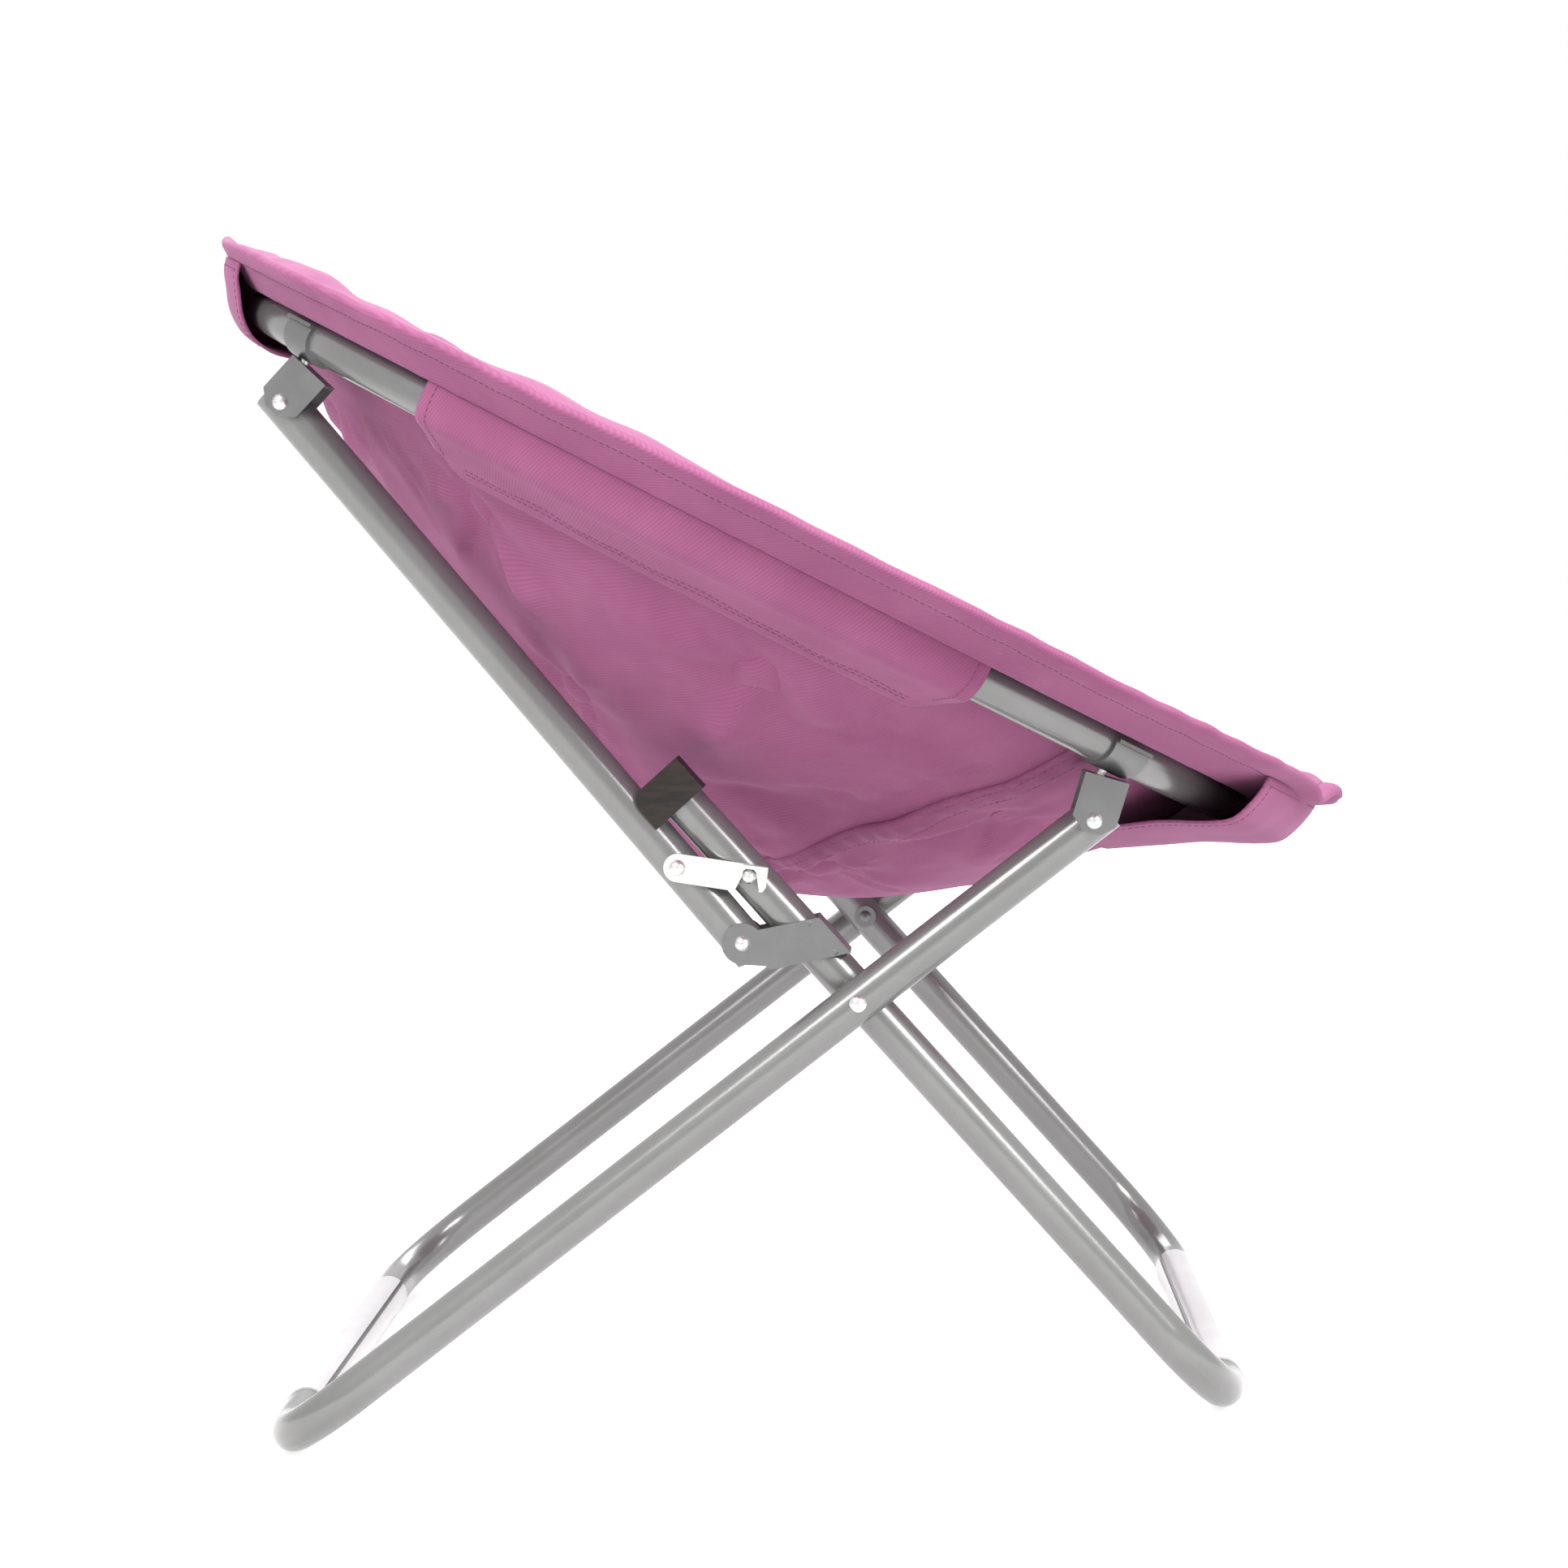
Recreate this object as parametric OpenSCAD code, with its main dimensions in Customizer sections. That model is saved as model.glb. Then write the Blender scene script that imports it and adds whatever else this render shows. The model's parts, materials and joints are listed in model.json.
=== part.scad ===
// Folding saucer chair: a padded round seat stretched on a tube hoop, carried by
// two crossed U-shaped legs and by back struts that latch to the front legs.
// +X is the front of the chair, +Y the sitter's left and +Z up. The origin is on
// the floor under the middle of the chair. Angles lean in the XZ plane.

/* [Tubing] */
// Outside diameter of every frame tube
tube_d = 25; // [23:0.5:26]
// Wall of the frame tubes
tube_wall = 1.5; // [1:0.1:2.5]
// Bend radius of the legs, on the tube axis
leg_bend_r = 62; // [50:1:75]

/* [Stance] */
// Distance between the two floor bars
foot_spread = 570; // [550:1:590]
// Share of the spread that lies behind the origin
rear_share = 0.5542; // [0.549:0.0001:0.56]
// Lean of the rear legs above the floor, in degrees
rear_leg_angle = 35.7; // [35:0.1:36.5]
// Lean of the front legs above the floor, in degrees
front_leg_angle = 50.3; // [49.5:0.1:51]
// Half width of the front legs and of the struts, to the tube axis
front_half_w = 218.5; // [205:0.5:225]
// Space between the crossed legs, filled by a spacer
spacer_t = 4; // [3.6:0.1:5]

/* [Rear legs] */
// Run from the floor bar to the front seat pivot
rear_leg_run = 612; // [600:1:620]
// Tube left beyond a pivot at the end of a leg or strut
tube_overrun = 10; // [8:0.5:11]

/* [Front legs and struts] */
// Run from the floor bar to the strut pivot
strut_pivot_run = 402.5; // [395:0.5:410]
// Distance of the strut pivot from the front leg's axis
strut_pivot_offset = 29.5; // [29:0.5:32]
// Run from the floor bar to the end of the front leg
front_leg_run = 506; // [495:1:512]
// Run from the floor bar to the latch pin
latch_pin_run = 429; // [424:0.5:434]
// Distance from the strut pivot to the latch pivot
latch_pivot_run = 58.7; // [56:0.1:62]

/* [Seat hoop] */
// Radius of the hoop, to the tube axis
hoop_r = 351; // [340:1:360]
// Slope of the hoop down to the front, in degrees
hoop_tilt = 29.5; // [28.5:0.1:30.5]
// Height of the hoop plane above both seat pivots
pivot_drop = 42.5; // [42:0.5:46]
// How far the front seat pivot lies ahead of the hoop tube
front_pivot_lead = 8.5; // [6:0.5:10]

/* [Sheet metal] */
// Thickness of clevises, saddles, knuckles and latches
plate_t = 2; // [1.6:0.1:2.4]
// Gap between a tube and the plate beside it
plate_gap = 0.1; // [0.05:0.05:0.2]
// Width of a clevis ear
clevis_w = 26; // [24:1:28]
// Length of a saddle along the hoop
saddle_len = 31; // [26:1:36]

/* [Rivets] */
// Radius of the pivot rivets
rivet_r = 3; // [2.5:0.1:3.5]
// Running clearance round a pivot rivet
rivet_fit = 0.05; // [0.03:0.01:0.08]
// Radius of a domed rivet head
rivet_head_r = 4.8; // [4.4:0.1:5.4]
// Height of a domed rivet head
rivet_head_h = 2.8; // [2.2:0.1:3]
// Radius of the latch pin
latch_pin_r = 1.7; // [1.5:0.1:1.8]

/* [Plastic parts] */
// Wall of the floor sleeves
sleeve_wall = 1; // [0.8:0.1:1.5]
// Half length of the floor sleeves
sleeve_half_l = 150; // [120:1:155]
// Width of the slit by which a floor sleeve clips on
sleeve_slit = 3; // [1:0.5:5]
// Length of a rest cap along the front leg
cap_len = 24; // [20:0.5:28]
// How far a cap's cheeks reach over the strut from the leg's axis
cap_reach = 21.5; // [20:0.5:23]

/* [Seat cover] */
// Depth of the bowl below the hoop plane
bowl_depth = 205; // [190:1:215]
// How far the deepest point lies ahead of the hoop's centre
bowl_lead = 60; // [50:1:70]
// Thickness of the seat pad
pad_t = 20; // [14:1:26]
// Radius of the padded rim
rim_r = 404; // [394:1:410]
// Height of the rim above the hoop plane, at the front
rim_h = 34; // [28:1:38]
// How much lower the rim stands at the back
rim_lean = 10; // [0:1:14]
// How far the rim's circle lies ahead of the hoop's
rim_lead = 10; // [0:1:12]
// Thickness of the stuffed edge inside the rim
edge_puff = 9; // [4:1:12]
// Swell of the pad between its tufts
pad_crown = 8; // [3:1:10]
// Depth of a tuft as a share of the pad's thickness
tuft_share = 0.55; // [0.3:0.05:0.6]
// Radius of the outer ring of buttons
outer_tuft_r = 281; // [265:1:290]
// Radius of the inner ring of buttons
inner_tuft_r = 165; // [150:1:180]
// Thickness of the cloth sewn round the hoop, with its hem
cloth_t = 2.5; // [1.5:0.1:3]
// Run of a side sleeve's flap inwards from the hoop
side_flap_run = 37; // [30:1:42]
// Run of the front pocket's flap inwards from the hoop
front_flap_run = 54; // [46:1:60]
// Run of the rear pocket's flap inwards from the hoop
rear_flap_run = 26; // [22:1:34]

/* [Hidden] */
$fn = 64;

tube_r = tube_d / 2;
bore_r = tube_r - tube_wall;
foot_h = tube_r + sleeve_wall;
cut = 1;
rear_half_w = front_half_w + tube_d + spacer_t;
hole_r = rivet_r + rivet_fit;

// Places in the side view are [x, z]
function polar(r, a) = r * [cos(a), sin(a)];
rear_foot = [-foot_spread * rear_share, foot_h];
front_foot = [foot_spread * (1 - rear_share), foot_h];
rear_dir = rear_leg_angle;
front_dir = 180 - front_leg_angle;
front_seat_pivot = rear_foot + polar(rear_leg_run, rear_dir);

// The seat's own frame has its origin at the hoop's centre and +X down to the front
front_pivot_t = sqrt(hoop_r * hoop_r - rear_half_w * rear_half_w) + front_pivot_lead;
rear_pivot_t = -sqrt(hoop_r * hoop_r - front_half_w * front_half_w);
function in_seat(t, n) = polar(t, -hoop_tilt) + polar(n, 90 - hoop_tilt);
hoop_mid = front_seat_pivot - in_seat(front_pivot_t, -pivot_drop);
rear_seat_pivot = hoop_mid + in_seat(rear_pivot_t, -pivot_drop);

// A place given by a run up the front leg and an offset to the strut's side
function on_front_leg(run, offset) =
    front_foot + polar(run, front_dir) + polar(offset, front_dir + 90);
strut_pivot = on_front_leg(strut_pivot_run, strut_pivot_offset);
strut_v = rear_seat_pivot - strut_pivot;
strut_run = norm(strut_v);
strut_dir = atan2(strut_v.y, strut_v.x);
latch_pivot = strut_pivot + polar(latch_pivot_run, strut_dir);
latch_pin = on_front_leg(latch_pin_run, 0);
latch_v = latch_pin - latch_pivot;
latch_reach = norm(latch_v);
latch_dir = atan2(latch_v.y, latch_v.x);

// The legs cross where their axes meet
cross_gap = rear_foot - front_foot;
scissor_run = (cross_gap.x * sin(rear_dir) - cross_gap.y * cos(rear_dir))
    / sin(rear_dir - front_dir);
scissor = on_front_leg(scissor_run, 0);

// Layers across the chair, from the tube's outer side outwards
front_face = front_half_w + tube_r;
plate_in = front_face + plate_gap;
plate_out = plate_in + plate_t;
rear_face = rear_half_w - tube_r;

SILVER = [0.62, 0.62, 0.63];
ZINC = [0.86, 0.86, 0.87];
BLACK = [0.16, 0.13, 0.12];
MILKY = [0.9, 0.9, 0.9];
ORCHID = [0.66, 0.36, 0.59];

// Puts children in a frame at a place in the side view, +X along an angle
module at(p, a = 0) {
    translate([p.x, 0, p.y]) rotate([0, -a, 0]) children();
}

module in_seat_frame() {
    at(hoop_mid, -hoop_tilt) children();
}

module both_sides() {
    children();
    mirror([0, 1, 0]) children();
}

// A bar across the chair, from y = y0 to y = y1
module cross_pin(r, y0, y1) {
    translate([0, y1, 0]) rotate([90, 0, 0]) cylinder(r = r, h = y1 - y0);
}

// A plate outline in the side view, given thickness from y = y0 to y = y1
module side_plate(y0, y1) {
    translate([0, y1, 0]) rotate([90, 0, 0]) linear_extrude(y1 - y0) children();
}

// Half of a sphere's cap, turned about Z: a rivet head of a given height
module dome(r, h) {
    ball_r = (r * r + h * h) / (2 * h);
    rotate_extrude() intersection() {
        translate([0, h - ball_r]) circle(ball_r);
        square([r, h]);
    }
}

// A rivet across the chair with a domed head at its outer end
module headed_rivet(r, y0, y1, head_r = rivet_head_r) {
    cross_pin(r, y0, y1);
    translate([0, y1, 0]) rotate([-90, 0, 0]) dome(head_r, rivet_head_h);
}

// A rivet with a head at each end
module double_rivet(r, y0, y1) {
    headed_rivet(r, y0, y1);
    translate([0, y0, 0]) rotate([90, 0, 0]) dome(rivet_head_r, rivet_head_h);
}

// A bent leg: a floor bar and two parallel legs, drawn with a given radius
module u_path(half_w, run, r) {
    straight = half_w - leg_bend_r;
    cross_pin(r, -straight, straight);
    both_sides() {
        translate([leg_bend_r, straight, 0]) rotate([0, 0, 90])
            rotate_extrude(angle = 90) translate([leg_bend_r, 0]) circle(r);
        translate([leg_bend_r, half_w, 0]) rotate([0, 90, 0])
            cylinder(r = r, h = run - leg_bend_r);
    }
}

module u_tube(half_w, run) {
    difference() {
        u_path(half_w, run, tube_r);
        u_path(half_w, run + 1, bore_r);
    }
}

// A sleeve of sheet plastic, with its slit turned up and to the chair's middle
module foot_sleeve(p, slit_dir) {
    at(p, slit_dir) difference() {
        cross_pin(foot_h, -sleeve_half_l, sleeve_half_l);
        cross_pin(tube_r, -sleeve_half_l - cut, sleeve_half_l + cut);
        translate([0, -sleeve_half_l - cut, -sleeve_slit / 2])
            cube([2 * foot_h, 2 * (sleeve_half_l + cut), sleeve_slit]);
    }
}

// Front legs
module front_leg_tube() {
    color(SILVER) difference() {
        at(front_foot, front_dir) u_tube(front_half_w, front_leg_run);
        at(scissor) cross_pin(rivet_r, -rear_half_w, rear_half_w);
        both_sides() at(latch_pin) cross_pin(latch_pin_r, front_half_w, rear_half_w);
    }
}

module front_foot_sleeve() {
    color(MILKY) foot_sleeve(front_foot, 140);
}

// A block on the end of the front leg, hollowed to cradle the strut
module rest_cap() {
    cap_back = tube_r + 2.5;
    cap_half_t = tube_r + 1.1;
    cap_round = 9;
    far_end = front_leg_run + 4;
    color(BLACK) difference() {
        at(front_foot, front_dir) side_plate(front_half_w - cap_half_t, front_half_w + cap_half_t) {
            translate([far_end - cap_len, -cap_back])
                square([cap_len, cap_back + cap_reach - cap_round]);
            translate([far_end - cap_len, 0]) square([cap_len - cap_round, cap_reach]);
            translate([far_end - cap_round, cap_reach - cap_round]) circle(cap_round);
        }
        at(front_foot, front_dir) translate([0, front_half_w, 0]) rotate([0, 90, 0])
            cylinder(r = tube_r, h = front_leg_run);
        at(strut_pivot, strut_dir) translate([0, front_half_w, 0]) rotate([0, 90, 0])
            cylinder(r = tube_r + 0.3, h = strut_run);
    }
}

// One ear of the knuckle, drawn from the strut pivot with +X up the leg
module knuckle_ear() {
    web_side = -strut_pivot_offset - tube_r - plate_t;
    difference() {
        union() {
            circle(12.2);
            polygon([[0, -12.2], [-18.5, web_side], [-46.5, web_side], [-22, -1.5],
                [-19, -1.5], [-10.4, 7], [-9, 10.6], [6.4, 10.2]]);
        }
        circle(rivet_r);
    }
}

// A plate folded round the back of the front leg, with an ear on each side of the strut
module knuckle_bracket() {
    web_side = -tube_r - plate_t;
    inner = tube_r + plate_gap;
    color(SILVER) {
        at(strut_pivot, front_dir) {
            side_plate(front_half_w + inner, front_half_w + inner + plate_t) knuckle_ear();
            side_plate(front_half_w - inner - plate_t, front_half_w - inner) knuckle_ear();
        }
        at(front_foot, front_dir) {
            translate([strut_pivot_run - 46.5, front_half_w - inner - plate_t, web_side])
                cube([28, 2 * (inner + plate_t), plate_t]);
            // Weld beads where the ears meet the leg
            for (run = [-17, -40])
                translate([strut_pivot_run + run, front_half_w + inner, -8])
                    sphere(2.6);
        }
    }
}

module knuckle_rivets() {
    inner = tube_r + plate_gap + plate_t;
    color(ZINC) both_sides() at(strut_pivot)
        double_rivet(rivet_r, front_half_w - inner, front_half_w + inner);
}

module latch_pins() {
    color(ZINC) both_sides() at(latch_pin)
        headed_rivet(latch_pin_r, front_half_w + bore_r - 2, plate_out + plate_gap, 4.1);
}

// Rings that hold the crossed legs apart
module scissor_spacers() {
    color(ZINC) both_sides() at(scissor) difference() {
        cross_pin(rivet_r * 2.2, front_face, rear_face - plate_gap);
        cross_pin(rivet_r, front_face - cut, rear_face + cut);
    }
}

// The inner half of each scissor rivet, on a washer inside the front leg
module scissor_tails() {
    inner_face = front_half_w - tube_r;
    washer_t = plate_t * 0.75;
    color(ZINC) both_sides() at(scissor) {
        cross_pin(rivet_r, inner_face - washer_t, rear_face - plate_gap);
        cross_pin(rivet_r * 2.6, inner_face - washer_t, inner_face);
        translate([0, inner_face - washer_t, 0]) rotate([90, 0, 0])
            dome(rivet_r * 1.5, rivet_head_h * 0.8);
    }
}

// Back struts and their latches
module strut_left() {
    color(SILVER) difference() {
        at(strut_pivot, strut_dir) translate([-tube_overrun, front_half_w, 0])
            rotate([0, 90, 0]) difference() {
                cylinder(r = tube_r, h = strut_run + 2 * tube_overrun);
                translate([0, 0, -1]) cylinder(r = bore_r, h = strut_run + 2 * tube_overrun + 2);
            }
        for (p = [strut_pivot, rear_seat_pivot])
            at(p) cross_pin(hole_r, front_half_w - tube_d, front_half_w + tube_d);
        at(latch_pivot) cross_pin(rivet_r, front_half_w, front_half_w + tube_d);
    }
}

module strut_right() {
    mirror([0, 1, 0]) strut_left();
}

module latch_rivets() {
    color(ZINC) both_sides() at(latch_pivot)
        headed_rivet(rivet_r, front_half_w + bore_r - 2, plate_out + plate_gap);
}

// A stamped lever whose hook drops over the pin, drawn from its pivot with +X to the pin
module latch_left() {
    slot_back = latch_reach - 4;
    slot_front = latch_reach + 3.6;
    // The slot widens downwards, so that the hook lifts off the pin as it swings
    slot_mouth = latch_reach + 6.5;
    hook_end = latch_reach + 10.5;
    tab_t = 1.6;
    color(ZINC) at(latch_pivot, latch_dir) {
        side_plate(plate_in, plate_out) difference() {
            union() {
                circle(8.4);
                polygon([[0, 8.4], [hook_end, 7.2], [hook_end, -5], [hook_end - 1.8, -8],
                    [slot_mouth + 1.2, -8], [slot_back - 3, -9.3], [0, -8.4]]);
            }
            circle(hole_r);
            polygon([[slot_back, 0.5], [slot_back, 3], [slot_back + 1.4, 4.6],
                [slot_front - 1.4, 4.6], [slot_front, 3], [slot_mouth, -7],
                [slot_mouth, -10], [slot_back - 4, -10]]);
        }
        translate([slot_back, plate_in, 7.2 - tab_t])
            cube([hook_end - slot_back, 6, tab_t]);
    }
}

module latch_right() {
    mirror([0, 1, 0]) latch_left();
}

// Seat hoop and its fittings, drawn in the seat's frame
module hoop_ring(r) {
    rotate_extrude($fn = 180) translate([hoop_r, 0]) circle(r);
}

// Turns children to a place on the hoop, +X outwards from its centre
module at_hoop(azimuth) {
    rotate([0, 0, azimuth]) translate([hoop_r, 0, 0]) children();
}

rear_azimuth = atan2(front_half_w, rear_pivot_t);
front_azimuth = atan2(rear_half_w, front_pivot_t - front_pivot_lead);
// Lean of a clevis from the seat's upright, forwards
rear_clevis_lean = 16;
front_clevis_lean = -10.5;

module saddle_rivet_hole() {
    for (a = [rear_azimuth, -rear_azimuth, front_azimuth, -front_azimuth])
        at_hoop(a) translate([0, 0, -tube_d]) cylinder(r = rivet_r, h = tube_d);
}

module hoop_tube() {
    color(SILVER) in_seat_frame() difference() {
        hoop_ring(tube_r);
        hoop_ring(bore_r);
        saddle_rivet_hole();
    }
}

// A half shell that hugs the hoop from below and outside, with a flared upper lip
module saddle(azimuth) {
    half_angle = saddle_len / hoop_r * 90 / PI;
    shell_r = tube_r + plate_t;
    color(SILVER) in_seat_frame() difference() {
        rotate([0, 0, azimuth - half_angle]) rotate_extrude(angle = 2 * half_angle, $fn = 180)
            translate([hoop_r, 0]) difference() {
                union() {
                    intersection() {
                        circle(shell_r);
                        polygon([[0, 0], [-20, -6], [-20, -20], [20, -20], [20, 8]]);
                    }
                    rotate(15) translate([tube_r - 1, 0]) square([plate_t + 3.5, plate_t]);
                }
                circle(tube_r);
            }
        saddle_rivet_hole();
    }
}

// Height at which a leaning web just meets the saddle above it
function clevis_h(lean) =
    (pivot_drop - tube_r - plate_t - clevis_w / 2 * sin(abs(lean))) / cos(lean);

// A channel with its web under a saddle and an ear on each side of a tube
module clevis_shape(half_gap, web_h) {
    ear = [[-clevis_w / 2, web_h - plate_t], [clevis_w / 2, web_h - plate_t],
        [clevis_w / 2, 0], [clevis_w / 2 - 8, -7], [8 - clevis_w / 2, -7], [-clevis_w / 2, 0]];
    difference() {
        union() {
            side_plate(half_gap, half_gap + plate_t) polygon(ear);
            side_plate(-half_gap - plate_t, -half_gap) polygon(ear);
            translate([-clevis_w / 2, -half_gap - plate_t, web_h - plate_t])
                cube([clevis_w, 2 * (half_gap + plate_t), plate_t]);
        }
        cross_pin(rivet_r, -half_gap - plate_t - 1, half_gap + plate_t + 1);
    }
}

module clevis(pivot_t, half_w, lean, azimuth) {
    color(SILVER) in_seat_frame() difference() {
        translate([pivot_t, half_w, -pivot_drop]) rotate([0, lean, 0])
            clevis_shape(tube_r + plate_gap, clevis_h(lean));
        saddle_rivet_hole();
    }
}

module clevis_rear_left() {
    clevis(rear_pivot_t, front_half_w, rear_clevis_lean);
}

module clevis_rear_right() {
    mirror([0, 1, 0]) clevis_rear_left();
}

module clevis_front_left() {
    clevis(front_pivot_t, rear_half_w, front_clevis_lean);
}

module clevis_front_right() {
    mirror([0, 1, 0]) clevis_front_left();
}

// Rivets that tie each clevis to its saddle and the hoop
module saddle_rivets() {
    color(ZINC) in_seat_frame() for (side = [1, -1]) {
        at_hoop(side * rear_azimuth) saddle_rivet(web_under(0, rear_clevis_lean));
        at_hoop(side * front_azimuth) saddle_rivet(web_under(-front_pivot_lead, front_clevis_lean));
    }
}

// Depth below the hoop plane of a web's underside, at a distance ahead of its pivot
function web_under(ahead, lean) =
    pivot_drop - (clevis_h(lean) - plate_t - ahead * sin(lean)) / cos(lean);

// The head closes on the low side of the leaning web
module saddle_rivet(web_drop) {
    bottom = web_drop + 1.2;
    translate([0, 0, -bottom]) cylinder(r = rivet_r, h = bottom - bore_r + 2);
    translate([0, 0, -bottom]) mirror([0, 0, 1]) dome(rivet_r + 1, 1.6);
}

module pivot_rivets(pivot_t, half_w) {
    inner = tube_r + plate_gap + plate_t;
    color(ZINC) in_seat_frame() both_sides() translate([pivot_t, 0, -pivot_drop])
        double_rivet(rivet_r, half_w - inner, half_w + inner);
}

module strut_pivot_rivets() {
    pivot_rivets(rear_pivot_t, front_half_w);
}

module leg_pivot_rivets() {
    pivot_rivets(front_pivot_t, rear_half_w);
}

// Seat cover. The bowl is measured from its deepest point, spoke by spoke
bowl_edge_r = hoop_r - tube_r - 5.5;
bowl_edge_n = -6;
function spoke_len(a) =
    sqrt(pow(bowl_edge_r, 2) - pow(bowl_lead * sin(a), 2)) - bowl_lead * cos(a);
// Height of the bowl's underside at a share u of the spoke at angle a
function bowl_n(u, a) =
    bowl_edge_n - (bowl_depth + bowl_edge_n) * pow(max(0, 1 - pow(u, 1.4)), 0.875 - 0.125 * cos(a));
function bowl_at(x, y) =
    let (dx = x - bowl_lead, a = atan2(y, dx)) bowl_n(min(1, norm([dx, y]) / spoke_len(a)), a);

outer_tufts = [for (k = [0:8]) polar(outer_tuft_r, 40 * k)];
inner_tufts = [for (k = [0:4]) polar(inner_tuft_r, 36 + 72 * k)];
tufts = concat(outer_tufts, inner_tufts);
// 1 at a tuft, falling to 0 about a tuft's reach away
tuft_reach = 34;
function tuft_near(p, reach) = max([for (q = tufts) exp(-pow(norm(p - q) / reach, 2))]);
// The pad stands up between its tufts, and the underside dips a little at each
function top_relief(p) = pad_crown * (1 - tuft_near(p, 1.6 * tuft_reach))
    - tuft_share * pad_t * tuft_near(p, tuft_reach);
function under_relief(p) = 0.1 * pad_t * tuft_near(p, tuft_reach);

// Rings of the bowl grow from its deepest point to the hoop, as shares of its radius
spokes = 45;
under_steps = [0.24, 0.44, 0.6, 0.74, 0.85, 0.94, 1];
top_steps = [1, 0.93, 0.85, 0.76, 0.67, 0.58, 0.5, 0.41, 0.29, 0.15];
// The cover passes over the hoop and flares out to the rolled rim, as [radius, height]
over = tube_r + 1.8;
over_hoop = [for (a = [170, 125, 80, 40]) [hoop_r, 0] + polar(over, a)];
rim_roll = [[rim_r - 21, rim_h - 14], [rim_r, rim_h - 1], [rim_r - 5, rim_h + 4], [rim_r - 16, rim_h]];
rim_top = [[hoop_r + tube_r + 1, over + 8 + edge_puff], [hoop_r - 2, over + 4 + edge_puff]];

function around(k) = polar(1, 360 * k / spokes);
function bowl_ring(share, lift) = [for (k = [0:spokes - 1])
    let (p = [bowl_lead * (1 - share), 0] + share * bowl_edge_r * around(k))
    [p.x, p.y, bowl_at(p.x, p.y) + lift + (lift > 0 ? top_relief(p) : under_relief(p))]];
// Past the hoop the rings move forwards to the rim's own circle and lean with it
function rim_share(r) = max(0, (r - hoop_r - tube_r) / (rim_r - hoop_r - tube_r));
function flat_ring(ring) = [for (k = [0:spokes - 1])
    let (share = rim_share(ring.x), back = (1 - around(k).x) / 2)
    [ring.x * around(k).x + rim_lead * share, ring.x * around(k).y,
        ring.y - rim_lean * back * share]];

cover_rings = concat(
    [for (share = under_steps) bowl_ring(share, 0)],
    [for (ring = concat(over_hoop, rim_roll, rim_top)) flat_ring(ring)],
    [for (share = top_steps) bowl_ring(share, pad_t)]);
cover_points = concat(
    [[bowl_lead, 0, -bowl_depth], [bowl_lead, 0, pad_t + pad_crown - bowl_depth]],
    [for (ring = cover_rings) each ring]);
function on_ring(ring, k) = 2 + ring * spokes + k % spokes;
last_ring = len(cover_rings) - 1;
cover_faces = concat(
    [for (k = [0:spokes - 1]) [0, on_ring(0, k), on_ring(0, k + 1)]],
    [for (r = [0:last_ring - 1], k = [0:spokes - 1]) each
        [[on_ring(r, k), on_ring(r + 1, k), on_ring(r + 1, k + 1)],
        [on_ring(r, k), on_ring(r + 1, k + 1), on_ring(r, k + 1)]]],
    [for (k = [0:spokes - 1]) [1, on_ring(last_ring, k + 1), on_ring(last_ring, k)]]);

module seat_cover() {
    color(ORCHID) in_seat_frame() polyhedron(cover_points, cover_faces, convexity = 6);
}

// A strip of cloth along a path in the section, thick towards the hoop
function strip(path) =
    let (last = len(path) - 1, inner = [for (i = [last:-1:0])
        let (d = path[min(i + 1, last)] - path[max(i - 1, 0)], side = [d.y, -d.x] / norm(d))
        path[i] + cloth_t * side])
    concat(path, inner);

// Cloth between two azimuths, its section drawn from the hoop's tube axis
module hoop_cloth(from, to, path) {
    color(ORCHID) in_seat_frame() rotate([0, 0, from])
        rotate_extrude(angle = to - from, $fn = 180) translate([hoop_r, 0]) difference() {
            polygon(strip(path));
            circle(tube_r + plate_gap);
        }
}

// The end of a flap, just into the bowl's underside at a run inwards from the hoop
function flap_end(run, azimuth) =
    let (p = polar(hoop_r - run, azimuth)) [-run, bowl_at(p.x, p.y) - cloth_t + plate_gap];

wrap_r = tube_r + cloth_t + plate_gap;
side_from = 64;
side_to = 121;
front_sweep = 32;
rear_sweep = 26;
side_path = concat([for (a = [35:-16:-77]) polar(wrap_r, a)], [flap_end(side_flap_run, side_from)]);

module side_sleeve_left() {
    hoop_cloth(side_from, side_to, side_path);
}

module side_sleeve_right() {
    hoop_cloth(-side_to, -side_from, side_path);
}

// The front pocket hangs from the rim, turns in below the hoop and meets the bowl
front_reach = rim_r + rim_lead - hoop_r;
front_path = [[front_reach - 6, rim_h - 7], [front_reach - 7, wrap_r - 11],
    [front_reach - 15, -wrap_r + 6], [tube_r, -wrap_r - 7], flap_end(front_flap_run, front_sweep)];

module front_pocket() {
    hoop_cloth(-front_sweep, front_sweep, front_path);
}

// The rear pocket is a rounder loop that hangs from the lower back rim
rear_reach = rim_r - rim_lead - hoop_r;
rear_path = [[rear_reach - 8, rim_h - rim_lean - 6], [rear_reach - 10, wrap_r - 8],
    [rear_reach - 17, -wrap_r + 6], [tube_r - 2, -wrap_r - 5], [-tube_r, -wrap_r - 6],
    flap_end(rear_flap_run, 180)];

module rear_pocket() {
    hoop_cloth(180 - rear_sweep, 180 + rear_sweep, rear_path);
}

// Slope of the bowl's underside along x and y
function bowl_slope(x, y) =
    [bowl_at(x + 1, y) - bowl_at(x - 1, y), bowl_at(x, y + 1) - bowl_at(x, y - 1)] / 2;

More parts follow.
